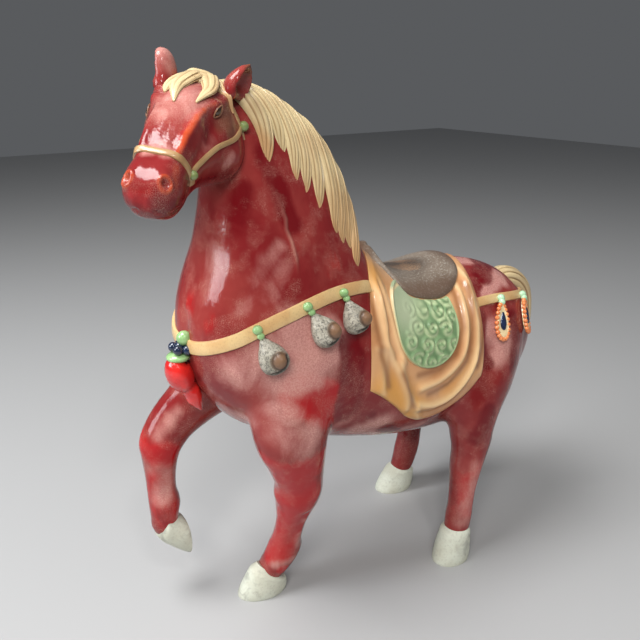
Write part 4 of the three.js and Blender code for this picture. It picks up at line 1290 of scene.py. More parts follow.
def spirals(seen, reach):
    """How near each place is to the line of a spiral, every other one wound the other way."""
    near = np.zeros(seen.shape[:-1])
    for index, (x, z, start) in enumerate(SPIRALS):
        path = spiral_path(x, z, start, 1 if index % 2 else -1)
        near = np.maximum(near, bump(distance_to_path(seen, path), reach))
    return near


def plain_corner(seen):
    return bump(distance_to_path(seen, PLAIN_CORNER), PLAIN_REACH)


def flap_outline(turn):
    x = FLAP_MIDDLE + FLAP_HALF * np.sin(turn)
    z = FLAP_BEND - FLAP_DROP * np.cos(turn)
    rise = np.clip(-np.cos(turn), 0, 1) ** 0.8 * FLAP_RISE
    aside = np.sign(np.sin(turn)) * np.abs(np.sin(turn)) ** 0.35
    upper_x = FLAP_MIDDLE + FLAP_HALF * aside
    high = np.cos(turn) <= 0
    return np.where(high, upper_x, x), np.where(high, FLAP_BEND + rise, z)


def trunk_place_at(x, z):
    """The rib and the drop of the trunk's place seen from the side at x, z."""
    place = np.full(np.shape(x), SEARCH_PLACE)
    drop = np.full(np.shape(x), SEARCH_DROP)
    for _ in range(SEARCH_ROUNDS):
        point = bare_trunk(place, drop)
        reach = np.linalg.norm(rib_at(place)[1], axis=-1)
        place = place - (x - point[..., 0]) / SEARCH_RIB_SPACING
        lower = np.degrees((point[..., 2] - z) / reach)
        drop = np.clip(drop + lower * SEARCH_DROP_SHARE, *SEARCH_DROPS)
    return place, drop


def flap(side):
    share = np.concatenate([np.linspace(0.02, 0.94, 62), np.linspace(0.955, 1, 8)])[:, None]
    edge_x, edge_z = flap_outline(full_turn(FLAP_SIDES)[None, :])
    x = FLAP_MIDDLE + (edge_x - FLAP_MIDDLE) * share
    z = FLAP_HEART + (edge_z - FLAP_HEART) * share
    seen = np.stack([x, z], -1)
    inside = (1 - share) * FLAP_RADIUS
    relief = SPIRAL_HEIGHT * spirals(seen, SPIRAL_REACH) * (1 - 0.85 * plain_corner(seen))
    relief = relief * ease(inside, 1.6, 3.2) + FLAP_BORDER * bump(inside - 1.0, 0.8)
    place, drop = trunk_place_at(x, z)
    surface, outward = on_trunk(place, drop)
    height = CLOTH_LIFT - 0.6 + FLAP_HEIGHT * rounded_edge(inside, 1.0) + relief
    bared = ease(seat_share(place, drop), 0.95, 1.06)
    height = FLAP_UNDER_SEAT + (height - FLAP_UNDER_SEAT) * bared
    points = surface + outward * height[..., None]
    inner = surface[-1:] + outward[-1:] * FLAP_SUNK
    rings = np.concatenate([drawn_in(points[:1]), points, inner], axis=0)
    rings[..., 1] *= side
    piece = loft("flap_" + SIDE_NAMES[side], rings)
    smooth_shade(piece)
    return piece


def seat():
    share = np.concatenate([np.linspace(0.015, 0.9, 44), np.linspace(0.92, 1, 9)])[:, None]
    turn = full_turn(SEAT_SIDES)[None, :]
    ahead = share * np.cos(turn)
    aside = share * np.sin(turn)
    place = SEAT_MIDDLE + ahead * np.where(ahead > 0, SEAT_FRONT, SEAT_REAR)
    drop = SEAT_HALF_TURN * aside * seat_taper(ahead)
    edge = np.sqrt(np.clip(1 - ease(share, 0.84, 1) ** 2, 0, 1))
    rim = SEAT_RIM * ease(share, 0.34, 0.78) * (0.25 + 0.75 * edge)
    slope = 1 - ahead * np.where(ahead < 0, 0.1, 0.3)
    pommel = SEAT_POMMEL * ease(ahead, 0.5, 0.9) * edge
    groove = bump(np.abs(aside) - 0.2, 0.07) * ease(ahead, 0.35, 0.6)
    spine = bump(aside, 0.12) * ease(ahead, 0.3, 0.6)
    height = CLOTH_LIFT + rim * slope + pommel + SEAT_RELIEF * (spine - groove)
    height = np.where(share >= 0.999, CLOTH_LIFT + SEAT_SUNK, height)
    points, _ = on_trunk(place, drop, height)
    piece = loft("saddle_seat", np.concatenate([drawn_in(points[:1]), points]))
    smooth_shade(piece)
    return piece


# Straps: rounded bands laid on the body through listed places

STRAP_PROFILE = [
    (-1, -1.0), (-1, 0.35), (-0.9, 0.75), (-0.6, 0.95), (0, 1.0), (0.6, 0.95), (0.9, 0.75), (1, 0.35),
    (1, -1.0),
]
STRAP_EVENING_ROUNDS = 4
STRAP_END_SHARE = 0.02
STRAP_END_HEIGHT = 0.3
CHEST_STRAP = [
    (-9, -44, 247), (-20, -44, 247), (-42, -44, 246.5), (-63, -47, 245), (-85, -46, 240),
    (-101, -42, 234), (-113, -36, 227.5), (-125, -24, 221.5), (-131, -10, 218.5), (-133, 2, 218.5),
    (-131, 14, 219.5), (-125, 26, 222), (-113, 38, 228), (-101, 43, 234), (-85, 46, 240), (-63, 47, 245),
    (-42, 44, 246.5), (-20, 44, 247), (-9, 44, 247),
]
CRUPPER_STRAP = [
    (78, -42, 214), (90, -40, 213), (108, -38, 211.5), (120, -37, 210), (132, -35, 208.5),
    (146, -30, 206), (156, -20, 203.5), (162, -8, 202), (163, 0, 202), (162, 8, 202), (156, 20, 203.5),
    (146, 30, 206), (132, 35, 208.5), (120, 37, 210), (108, 38, 211.5), (90, 40, 213), (78, 42, 214),
]


def band(name, path, tree, half, thick, count):
    """A band through places on a surface, sunk at its two ends."""
    spots = [settle_on(tree, point) for point in smooth_rows(path, count)]
    middle = np.array([spot for spot, _ in spots])
    normal = unit(np.array([way for _, way in spots]))
    for _ in range(STRAP_EVENING_ROUNDS):
        normal = unit(normal + np.roll(normal, 1, 0) * 0.5 + np.roll(normal, -1, 0) * 0.5)
    middle[1:-1] = (middle[:-2] + 2 * middle[1:-1] + middle[2:]) / 4
    run = unit(np.gradient(middle, axis=0))
    across = unit(np.cross(normal, run))
    normal = unit(np.cross(run, across))
    from_end = np.minimum(np.arange(count), np.arange(count)[::-1])
    full = ease(from_end, 0, STRAP_END_SHARE * count)
    heights = thick * (STRAP_END_HEIGHT + (1 - STRAP_END_HEIGHT) * full)
    rings = []
    for spot, out, side, high in zip(middle, normal, across, heights):
        ring = []
        for aside, up in STRAP_PROFILE:
            ring.append(spot + side * half * aside + out * (high if up > 0 else thick) * up)
        rings.append(ring)
    piece = loft(name, rings)
    smooth_shade(piece, 40)
    return piece


def ball(name, at, radius, stretch=(1, 1, 1)):
    """A bead: a round primitive, stretched and put in its place."""
    deselect()
    bpy.ops.mesh.primitive_uv_sphere_add(segments=20, ring_count=12, radius=radius * MM)
    piece = bpy.context.object
    piece.name = name
    bpy.ops.object.mode_set(mode="EDIT")
    bpy.ops.mesh.select_all(action="SELECT")
    bpy.ops.transform.resize(value=stretch)
    bpy.ops.transform.translate(value=tuple(to_frame(at)))
    bpy.ops.object.mode_set(mode="OBJECT")
    smooth_shade(piece)
    return piece


def hung_on(places, side, tree):
    """The upper and the lower place of an ornament on the skin, each with the way out of it."""
    return [settle_on(tree, np.array(place, float) * (1, side, 1)) for place in places]


def hanging_ways(start, end, low_out):
    """The ways down, out and across of an ornament that hangs from start to end, and its length."""
    axis = unit(end - start)
    out = unit(low_out - axis * (low_out @ axis))
    return axis, out, unit(np.cross(axis, out)), np.linalg.norm(end - start)


# Bells: beads above, a pear-shaped shell with a split bulb at its lower rear

BELLS = [
    ((-103.5, -44, 235), (-94, -49, 211)),
    ((-73, -48, 244), (-61, -51, 221)),
    ((-42.5, -45, 246), (-36, -49, 222)),
]
BELL_PROFILE = [
    (0, 0.6), (0.08, 2.4), (0.2, 4.2), (0.34, 6.4), (0.5, 8.1), (0.66, 8.8), (0.8, 8.3), (0.9, 6.7),
    (0.97, 4.2), (1, 0.5),
]
BELL_SIDES = 64
BELL_RINGS = 64
BELL_BREADTH = 1.02
BELL_DEPTH = 0.86

# Slit of the bulb: places counted rearward and down from its mouth
BELL_SLIT = [(-6.5, 1.6), (-2, 1.4), (2.6, -1.2), (5, -5)]
BULB_RADIUS = 5.2


def bell(index, side, tree):
    (top_spot, top_out), (low_spot, low_out) = hung_on(BELLS[index], side, tree)
    label = f"{index}_{SIDE_NAMES[side]}"
    hang = low_spot - top_spot
    top_bead = top_spot + top_out * 3.0
    start = top_bead + hang * 0.2 + top_out * 0.4
    end = low_spot + low_out * 5.0 + hang * 0.08
    axis, out, flank, length = hanging_ways(start, end, low_out)
    turn = full_turn(BELL_SIDES)
    rings = []
    for share, radius in smooth_rows(BELL_PROFILE, BELL_RINGS):
        centre = start + axis * length * share
        rings.append(ring_of(centre, flank, radius * BELL_BREADTH, out, radius * BELL_DEPTH, turn))
    shell = loft("bell_" + label, rings)
    rear = np.array([1.0, 0, 0]) - axis * axis[0]
    rear = unit(rear - out * (rear @ out))
    bulb = start + axis * length * 0.66 + rear * 3.2 + out * 2.4
    mouth = start + axis * length * 0.86 + rear * 2.2 + out * 5.2
    slit = [mouth + rear * back + axis * down for back, down in BELL_SLIT]
    rim = ring_round(bulb + out * 5, out, BULB_RADIUS, 1)
    carve(shell, [([bulb + out * 4], 4.4, 3.4), (rim, 0.9, -0.9), (slit, 1.3, -2.8)])
    points = points_of(shell)
    paint(shell, "brown", patches(points, [([bulb + out * 6], 5.4, 1)]))
    # Painted shade in the slit and in the groove round the bulb
    paint(shell, "dark", patches(points, [(slit, 2.1, 1), (rim, 0.9, 0.6)]))
    smooth_shade(shell)
    upper = ball("bell_bead_upper", top_bead, 3.1, (1, 1, 0.94))
    lower = ball("bell_bead_lower", top_bead + (start - top_bead) * 0.8, 2.4, (1, 1, 0.94))
    return shell, join("bell_beads_" + label, [upper, lower])


# Pendants: an almond plate with a beaded orange rim and a dark middle

PENDANTS = [
    ((109, -40, 211.5), (100, -52, 185)),
    ((140.5, -34, 206.5), (131, -46, 183)),
]
PENDANT_BREADTH = 7.2
PENDANT_SIDES = 40
PENDANT_BEADS = 22
PENDANT_BEAD_RADIUS = 1.75

# Rings of the plate and the stone: scale of the almond, height off its plane
PLATE_RINGS = [(0.95, -1.5), (0.97, 0.6), (0.86, 1.7), (0.74, 1.5), (0.02, 1.4)]
STONE_RINGS = [(0.52, 0.8), (0.5, 1.9), (0.4, 2.4), (0.2, 2.7), (0.02, 2.8)]


def pendant(index, side, tree):
    (top_spot, top_out), (low_spot, low_out) = hung_on(PENDANTS[index], side, tree)
    label = f"{index}_{SIDE_NAMES[side]}"
    start = top_spot + top_out * 3 + (low_spot - top_spot) * 0.14
    end = low_spot + low_out * 3.2
    axis, out, flank, length = hanging_ways(start, end, low_out)

    def almond(scale, height, angle):
        wide = PENDANT_BREADTH * scale * np.sin(angle) * (0.75 - 0.25 * np.cos(angle))
        along = length * 0.5 * (1 - scale * np.cos(angle))
        return start + along * axis + wide * flank + out * height

    def dome(name, sections):
        rings = []
        for scale, height in sections:
            rings.append([almond(scale, height, angle) for angle in full_turn(PENDANT_SIDES)])
        piece = loft(name, rings)
        smooth_shade(piece, 50)
        return piece

    beads = []
    for angle in full_turn(PENDANT_BEADS):
        beads.append(ball("pendant_bead", almond(1, 0.6, angle), PENDANT_BEAD_RADIUS))
    rim = join("pendant_rim_" + label, beads)
    plate = dome("pendant_plate_" + label, PLATE_RINGS)
    stone = dome("pendant_stone_" + label, STONE_RINGS)
    upper = ball("mint_upper", top_spot + top_out * 2.8, 3.0)
    lower = ball("mint_lower", start - axis + out * 0.8, 2.6)
    return rim, plate, stone, join("pendant_beads_" + label, [upper, lower])


# Tassel: bead, blue beads, green ring and a two-lobed scarlet tuft

TASSEL_RUN = [
    (-136, -2, 210, 3.6, 3.6), (-137.5, -2, 206, 7.2, 7.6), (-136.5, -2, 200, 8.6, 9.0),
    (-134, -2, 194, 8.0, 8.6), (-131, -2, 189.5, 5.6, 6.4), (-129, -2.4, 185, 5.4, 6.4),
    (-127, -2.6, 179, 4.8, 5.0), (-123.5, -3, 171, 0.6, 0.6),
]
TASSEL_RINGS = 44
TASSEL_SIDES = 36
TASSEL_CREASES = [
    ([(-140, -10, 207), (-136, -10, 194)], 3, 0.8),
    ([(-134, -11, 188), (-128, -9, 190)], 2, -1.0),
]
BLUE_BEADS = [
    (-137.5, -5.5, 216.4), (-138, 0.5, 216.8), (-132.3, -7.4, 216), (-133, 2.8, 216.4), (-135, -2, 217),
]
BLUE_BEAD_RADIUS = 3.2


def tassel():
    tuft = tube("tassel_tuft", np.array(TASSEL_RUN), TASSEL_RINGS, TASSEL_SIDES, ACROSS)
    carve(tuft, TASSEL_CREASES)
    smooth_shade(tuft)
    blue = join("tassel_blue_beads", [ball("blue", at, BLUE_BEAD_RADIUS) for at in BLUE_BEADS])
    top = ball("green_top", (-132, -3, 222.5), 4.8)
    ring = ball("green_ring", (-136.4, -2, 210.8), 7.4, (1, 1, 0.45))
    return tuft, blue, join("tassel_green_beads", [top, ring])


# Bridle in head rib numbers and degrees round the head

NOSEBAND = [
    (6.88, -10), (6.9, 0), (7.1, 45), (7.15, 90), (6.95, 135), (6.55, 180), (6.45, 205), (6.4, 250),
]
CHEEK_STRAP = [(6.88, 5), (5.9, 6), (4.6, 7), (3.2, 5), (1.95, 3.5)]
CROWN_STRAP = [(1.95, 3.5), (1.85, 18), (1.6, 34), (1.3, 52), (0.9, 66)]
THROAT_STRAP = [(1.95, 3.5), (2.1, -10), (2.15, -24)]
CHIN_STRAP = [(6.88, 3), (6.95, -5), (7.0, -11)]
RIGHT_BRIDLE_LOWER = 14

# Straps and beads that both sides have: path, half-breadth, thickness, rings; stop, radius, lift
SIDE_STRAPS = {
    "cheek_strap": (CHEEK_STRAP, 1.45, 1.1, 50),
    "crown_strap": (CROWN_STRAP, 1.9, 1.1, 36),
    "throat_strap": (THROAT_STRAP, 1.3, 0.8, 20),
    "chin_strap": (CHIN_STRAP, 1.3, 0.7, 16),
}
SIDE_BEADS = [(CHEEK_STRAP[0], 2.6, 1.2), (CHEEK_STRAP[-1], 3.0, 1.8)]


def bridle_path(stops, side):
    places, turns = np.array(stops, float).T
    if side == RIGHT:
        turns = 180 - turns + RIGHT_BRIDLE_LOWER
    return from_head(bare_head(places, turns))


def bridle(tree):
    straps = [band("noseband", bridle_path(NOSEBAND, LEFT), tree, 1.9, 1.3, 90)]
    beads = []
    for side in (LEFT, RIGHT):
        for name, (stops, half, thick, count) in SIDE_STRAPS.items():
            straps.append(band(name, bridle_path(stops, side), tree, half, thick, count))
        for stop, radius, off in SIDE_BEADS:
            spot, out = settle_on(tree, bridle_path([stop], side)[0])
            beads.append(ball("bridle_bead", spot + out * off, radius))
    return join("bridle_straps", straps), join("bridle_beads", beads)


# Materials

def material(name):
    made = bpy.data.materials.new(name)
    made.use_nodes = True
    return made, made.node_tree, made.node_tree.nodes["Principled BSDF"]


def new_group(name, inputs, outputs):
    group = bpy.data.node_groups.new(name, "ShaderNodeTree")
    for label, value in inputs.items():
        socket = group.interface.new_socket(label, in_out="INPUT", socket_type="NodeSocketFloat")
        socket.default_value = value
    for label in outputs:
        group.interface.new_socket(label, in_out="OUTPUT", socket_type="NodeSocketFloat")
    return group, group.nodes.new("NodeGroupInput"), group.nodes.new("NodeGroupOutput")


def feed(tree, socket, value):
    """Sets a socket to a number or a colour, or links it to another node's output."""
    if isinstance(value, (int, float)):
        socket.default_value = value
    elif isinstance(value, tuple):
        socket.default_value = (*value, 1)
    else:
        tree.links.new(value, socket)


def math_node(tree, operation, *values):
    node = tree.nodes.new("ShaderNodeMath")
    node.operation = operation
    for socket, value in zip(node.inputs, values):
        feed(tree, socket, value)
    return node.outputs[0]


def weaker(tree, mask, share):
    return math_node(tree, "MULTIPLY", mask, share)


def mix_colour(tree, factor, a, b):
    node = tree.nodes.new("ShaderNodeMix")
    node.data_type = "RGBA"
    for socket, value in ((node.inputs[0], factor), (node.inputs[6], a), (node.inputs[7], b)):
        feed(tree, socket, value)
    return node.outputs[2]


def object_place(tree):
    return tree.nodes.new("ShaderNodeTexCoord").outputs["Object"]


def flowing_place(tree, squash):
    """Object coordinates squashed in height, so that a pattern runs down the figure like glaze."""
    squashed = tree.nodes.new("ShaderNodeMapping")
    squashed.inputs["Scale"].default_value = (1, 1, squash)
    tree.links.new(object_place(tree), squashed.inputs["Vector"])
    return squashed.outputs["Vector"]


def noise(tree, scale, detail=3.0, roughness=0.6, warp=0.0, squash=1.0):
    node = tree.nodes.new("ShaderNodeTexNoise")
    feed(tree, node.inputs["Scale"], scale)
    node.inputs["Detail"].default_value = detail
    node.inputs["Roughness"].default_value = roughness
    node.inputs["Distortion"].default_value = warp
    tree.links.new(flowing_place(tree, squash), node.inputs["Vector"])
    return node.outputs["Fac"]


def spread(tree, value, low, high):
    """Stretches a mask softly, so that low becomes 0 and high becomes 1."""
    node = tree.nodes.new("ShaderNodeMapRange")
    node.interpolation_type = "SMOOTHSTEP"
    feed(tree, node.inputs["Value"], value)
    feed(tree, node.inputs["From Min"], low)
    feed(tree, node.inputs["From Max"], high)
    return node.outputs["Result"]


def attribute(tree, name):
    node = tree.nodes.new("ShaderNodeAttribute")
    node.attribute_name = name
    return node.outputs["Fac"]


def crackle_group():
    """Fine crazing: a thin net of lines over the glaze, and a wavy skin under it."""
    group, given, out = new_group("crazing", {"Scale": 420.0, "Width": 0.05}, ["Lines", "Waves"])
    cells = group.nodes.new("ShaderNodeTexVoronoi")
    cells.feature = "DISTANCE_TO_EDGE"
    feed(group, cells.inputs["Vector"], object_place(group))
    feed(group, cells.inputs["Scale"], given.outputs["Scale"])
    thin = math_node(group, "LESS_THAN", cells.outputs["Distance"], given.outputs["Width"])
    patchy = spread(group, noise(group, 60.0), 0.45, 0.62)
    feed(group, out.inputs["Lines"], weaker(group, thin, patchy))
    runs = weaker(group, noise(group, 150.0, detail=2.0, roughness=0.5, warp=0.5, squash=0.2), 0.45)
    ripples = noise(group, 75.0, detail=4.0, roughness=0.5)
    feed(group, out.inputs["Waves"], math_node(group, "MULTIPLY_ADD", ripples, 0.8, runs))
    return group


def patch_group():
    """A painted mask with a run, broken edge: the mask meets a warped noise."""
    inputs = {"Mask": 0.0, "Break": 0.5, "Scale": 60.0, "Low": 0.3, "High": 0.7}
    group, given, out = new_group("broken_patch", inputs, ["Cover"])
    rough = noise(group, given.outputs["Scale"], detail=5.0, roughness=0.62, warp=0.6, squash=0.55)
    centred = math_node(group, "SUBTRACT", rough, 0.5)
    shaken = weaker(group, centred, given.outputs["Break"])
    total = math_node(group, "ADD", given.outputs["Mask"], shaken)
    cover = spread(group, total, given.outputs["Low"], given.outputs["High"])
    feed(group, out.inputs["Cover"], cover)
    return group


def bloom_group():
    """Uneven glaze: slow drifts of thickness and fine speckle."""
    inputs = {"Drift Scale": 30.0, "Speck Scale": 900.0}
    group, given, out = new_group("uneven_glaze", inputs, ["Drift", "Specks"])
    drifting = noise(group, given.outputs["Drift Scale"], detail=4.0, roughness=0.5)
    speckled = noise(group, given.outputs["Speck Scale"], detail=2.0, roughness=0.5)
    feed(group, out.inputs["Drift"], spread(group, drifting, 0.35, 0.68))
    feed(group, out.inputs["Specks"], spread(group, speckled, 0.5, 0.7))
    return group


CRAZING = crackle_group()
BROKEN_PATCH = patch_group()
UNEVEN = bloom_group()


def use_group(tree, group, **values):
    node = tree.nodes.new("ShaderNodeGroup")
    node.node_tree = group
    for name, value in values.items():
        feed(tree, node.inputs[name.replace("_", " ")], value)
    return node.outputs


def patch_cover(tree, name, amount, scale, low, high):
    mask = attribute(tree, name)
    return use_group(tree, BROKEN_PATCH, Mask=mask, Break=amount, Scale=scale, Low=low, High=high)["Cover"]


def gloss(shader, roughness, coat, coat_roughness):
    shader.inputs["Roughness"].default_value = roughness
    shader.inputs["Coat Weight"].default_value = coat
    shader.inputs["Coat Roughness"].default_value = coat_roughness
    shader.inputs["IOR"].default_value = 1.5


def add_bump(tree, shader, height, strength, distance):
    node = tree.nodes.new("ShaderNodeBump")
    node.inputs["Strength"].default_value = strength
    node.inputs["Distance"].default_value = distance * MM
    tree.links.new(height, node.inputs["Height"])
    tree.links.new(node.outputs["Normal"], shader.inputs["Normal"])


# Colours of the glazes, as the shader takes them

RED = (0.175, 0.013, 0.014)
RED_LIT = (0.25, 0.035, 0.030)
# dark pooled glaze, also the colour of the head's painted shadow on the neck
DARK_RED = (0.12, 0.002, 0.005)
VIVID_RED = (0.36, 0.005, 0.007)
# milky glaze, also the colour of the painted highlights among its patches
MILKY_AND_HIGHLIGHT = (0.53, 0.26, 0.225)
ORANGE_EDGE = (0.42, 0.062, 0.020)
OLIVE_BROWN = (0.15, 0.060, 0.034)
PALE_EDGE = (0.60, 0.38, 0.29)

CREAM = (0.60, 0.48, 0.27)
CREAM_DEEP = (0.50, 0.37, 0.20)
CREAM_TAN = (0.50, 0.275, 0.125)
# painted shade in the grooves of the hair
CREAM_GROOVE_SHADE = (0.21, 0.11, 0.035)
CREAM_SPECK = (0.3, 0.17, 0.07)

OCHRE = (0.60, 0.33, 0.16)
OCHRE_DEEP = (0.48, 0.21, 0.085)
OCHRE_GOLD = (0.62, 0.29, 0.045)
# painted highlight on the ridges of the blanket's folds, and painted shade in the hollows between them
OCHRE_RIDGE_HIGHLIGHT = (0.80, 0.58, 0.31)
OCHRE_VALLEY_SHADE = (0.22, 0.082, 0.028)

GREEN = (0.30, 0.39, 0.20)
GREEN_DEEP = (0.25, 0.35, 0.18)
GREEN_RELIEF = (0.40, 0.48, 0.27)
GREEN_HOLLOW = (0.11, 0.20, 0.09)
GREEN_DUST = (0.36, 0.39, 0.28)

SADDLE = (0.20, 0.16, 0.125)
SADDLE_DEEP = (0.14, 0.105, 0.078)
SADDLE_SPECK = (0.34, 0.31, 0.27)
# painted shade in the dish of the seat
SADDLE_DISH_SHADE = (0.05, 0.035, 0.026)
SADDLE_RIM = (0.10, 0.058, 0.038)
SADDLE_FRONT = (0.20, 0.095, 0.048)

BELL_PALE = (0.42, 0.39, 0.32)
BELL_GREY = (0.26, 0.24, 0.19)
BELL_INK = (0.035, 0.032, 0.028)
BELL_BROWN = (0.17, 0.092, 0.05)
# painted shade in the bell's slit and round its bulb
BELL_SLIT_SHADE = (0.012, 0.010, 0.008)

HOOF_WHITE = (0.60, 0.62, 0.52)
HOOF_GREY = (0.52, 0.52, 0.42)
HOOF_SMUDGE = (0.22, 0.22, 0.19)
HOOF_SPECK = (0.34, 0.31, 0.25)

# Glazes of small pieces: light and deep colour, roughness, coat, scale of the drift, strength of specks
SMALL_GLAZES = {
    "strap_glaze": ((0.60, 0.42, 0.20), (0.52, 0.31, 0.13), 0.32, 0.35, 50.0, 0.2),
    "bead_glaze": ((0.28, 0.46, 0.20), (0.20, 0.36, 0.14), 0.2, 0.6, 200.0, 0.1),
    "bridle_tan": ((0.40, 0.25, 0.115), (0.29, 0.165, 0.07), 0.34, 0.3, 60.0, 0.2),
    "bead_olive": ((0.20, 0.25, 0.09), (0.12, 0.16, 0.055), 0.22, 0.5, 200.0, 0.1),
    "mint_glaze": ((0.46, 0.68, 0.46), (0.34, 0.56, 0.34), 0.2, 0.6, 200.0, 0.1),
    "tassel_red": ((0.62, 0.018, 0.014), (0.46, 0.010, 0.010), 0.22, 0.6, 90.0, 0.1),
    "pendant_orange": ((0.72, 0.25, 0.09), (0.62, 0.17, 0.05), 0.22, 0.6, 200.0, 0.1),
    "pendant_cream": ((0.72, 0.58, 0.34), (0.62, 0.46, 0.24), 0.3, 0.4, 200.0, 0.1),
    "ink_blue": ((0.012, 0.022, 0.06), (0.008, 0.014, 0.035), 0.15, 0.8, 200.0, 0.1),
    "eye_dark": ((0.05, 0.025, 0.012), (0.012, 0.008, 0.006), 0.12, 0.9, 200.0, 0.1),
    "lid_tan": ((0.24, 0.11, 0.06), (0.15, 0.06, 0.035), 0.3, 0.3, 200.0, 0.1),
}
SMALL_SPECK_SCALE = 900.0
SMALL_SPECK_SHADE = 0.45
SMALL_COAT_ROUGHNESS = 0.1


def red_glaze():
    made, tree, shader = material("red_glaze")
    uneven = use_group(tree, UNEVEN, Drift_Scale=26.0, Speck_Scale=750.0)
    crazing = use_group(tree, CRAZING, Scale=1050.0, Width=0.07)
    grain = spread(tree, noise(tree, 1000.0, roughness=0.65, warp=0.3), 0.36, 0.66)
    colour = mix_colour(tree, uneven["Drift"], RED, RED_LIT)
    bright = weaker(tree, patch_cover(tree, "bright", 0.8, 60.0, 0.2, 0.5), 0.9)
    colour = mix_colour(tree, bright, colour, VIVID_RED)
    brown = weaker(tree, patch_cover(tree, "brown", 0.5, 60.0, 0.1, 0.9), 0.8)
    colour = mix_colour(tree, brown, colour, OLIVE_BROWN)
    broken = math_node(tree, "MULTIPLY_ADD", grain, 0.28, 0.66)
    # Milky glaze, with painted highlights among its patches; it is rougher where it lies
    milk_and_highlight = weaker(tree, patch_cover(tree, "milk_and_highlight", 0.9, 46.0, 0.18, 0.74), broken)
    colour = mix_colour(tree, milk_and_highlight, colour, MILKY_AND_HIGHLIGHT)
    # Dark pooled glaze, and the head's painted shadow on the neck under the jaw
    pool_and_shadow = weaker(tree, patch_cover(tree, "pool_and_shadow", 1.0, 50.0, 0.22, 0.74), 0.85)
    colour = mix_colour(tree, pool_and_shadow, colour, DARK_RED)
    colour = mix_colour(tree, patch_cover(tree, "thin", 0.7, 160.0, 0.15, 0.8), colour, ORANGE_EDGE)
    colour = mix_colour(tree, weaker(tree, attribute(tree, "line"), 0.5), colour, PALE_EDGE)
    colour = mix_colour(tree, weaker(tree, crazing["Lines"], 0.2), colour, PALE_EDGE)
    tree.links.new(colour, shader.inputs["Base Color"])
    gloss(shader, 0.13, 0.0, 0.04)
    shader.inputs["Specular IOR Level"].default_value = 0.33
    rough = math_node(tree, "MULTIPLY_ADD", milk_and_highlight, 0.2, 0.12)
    tree.links.new(rough, shader.inputs["Roughness"])
    add_bump(tree, shader, crazing["Waves"], 0.5, 1.1)
    return made


def cream_glaze():
    """Cream with painted shade in the grooves of the hair, found by the Pointiness of the mesh."""
    made, tree, shader = material("cream_glaze")
    uneven = use_group(tree, UNEVEN, Drift_Scale=45.0, Speck_Scale=1100.0)
    pointed = tree.nodes.new("ShaderNodeNewGeometry").outputs["Pointiness"]
    groove = math_node(tree, "SUBTRACT", 1.0, spread(tree, pointed, 0.455, 0.53))
    colour = mix_colour(tree, uneven["Drift"], CREAM, CREAM_DEEP)
    colour = mix_colour(tree, attribute(tree, "tan"), colour, CREAM_TAN)
    # painted shade in the grooves
    colour = mix_colour(tree, weaker(tree, groove, 0.9), colour, CREAM_GROOVE_SHADE)
    colour = mix_colour(tree, weaker(tree, uneven["Specks"], 0.12), colour, CREAM_SPECK)
    tree.links.new(colour, shader.inputs["Base Color"])
    gloss(shader, 0.36, 0.25, 0.15)
    add_bump(tree, shader, uneven["Specks"], 0.12, 0.3)
    return made


def toned_glaze(name, tones, scales, shine, relief, specks=None, masks=()):
    """A glaze of two drifting tones, with specks of (colour, strength) and painted masks over them."""
    made, tree, shader = material(name)
    uneven = use_group(tree, UNEVEN, Drift_Scale=scales[0], Speck_Scale=scales[1])
    colour = mix_colour(tree, uneven["Drift"], *tones)
    if specks:
        colour = mix_colour(tree, weaker(tree, uneven["Specks"], specks[1]), colour, specks[0])
    for mask, over in masks:
        colour = mix_colour(tree, attribute(tree, mask), colour, over)
    tree.links.new(colour, shader.inputs["Base Color"])
    gloss(shader, *shine)
    add_bump(tree, shader, uneven["Specks"], *relief)
    return made


def small_glaze(name):
    light, deep, roughness, coat, drift, strength = SMALL_GLAZES[name]
    specks = (tuple(tone * SMALL_SPECK_SHADE for tone in deep), strength)
    shine = (roughness, coat, SMALL_COAT_ROUGHNESS)
    return toned_glaze(name, (light, deep), (drift, SMALL_SPECK_SCALE), shine, (0.15, 0.3), specks)


def blanket_glaze():
    # The ridges of the folds carry painted highlights, the hollows between them painted shade
    masks = [("gold", OCHRE_GOLD), ("ridge_highlight", OCHRE_RIDGE_HIGHLIGHT), ("hollow", OCHRE_VALLEY_SHADE)]
    tones = (OCHRE, OCHRE_DEEP)
    return toned_glaze("blanket_glaze", tones, (34.0, 800.0), (0.3, 0.4, 0.12), (0.1, 0.3), masks=masks)


def green_glaze():
    masks = [("relief", GREEN_RELIEF), ("hollow", GREEN_HOLLOW), ("dust", GREEN_DUST), ("rim", CREAM)]
    tones = (GREEN, GREEN_DEEP)
    return toned_glaze("green_glaze", tones, (60.0, 900.0), (0.38, 0.15, 0.15), (0.12, 0.3), masks=masks)


def saddle_glaze():
    masks = [("hollow", SADDLE_DISH_SHADE), ("rim", SADDLE_RIM), ("front", SADDLE_FRONT)]
    tones = (SADDLE, SADDLE_DEEP)
    specks = (SADDLE_SPECK, 0.7)
    return toned_glaze("saddle_glaze", tones, (40.0, 650.0), (0.42, 0.3, 0.2), (0.4, 0.4), specks, masks)


def bell_glaze():
    made, tree, shader = material("bell_glaze")
    uneven = use_group(tree, UNEVEN, Drift_Scale=120.0, Speck_Scale=500.0)
    ink = spread(tree, noise(tree, 620.0, detail=5.0, roughness=0.75, warp=0.8), 0.45, 0.62)
    colour = mix_colour(tree, uneven["Drift"], BELL_PALE, BELL_GREY)
    colour = mix_colour(tree, weaker(tree, ink, 0.8), colour, BELL_INK)
    colour = mix_colour(tree, patch_cover(tree, "brown", 0.35, 150.0, 0.15, 0.6), colour, BELL_BROWN)
    # painted shade in the slit and round the bulb
    colour = mix_colour(tree, attribute(tree, "dark"), colour, BELL_SLIT_SHADE)
    tree.links.new(colour, shader.inputs["Base Color"])
    gloss(shader, 0.42, 0.1, 0.2)
    add_bump(tree, shader, uneven["Specks"], 0.3, 0.4)
    return made


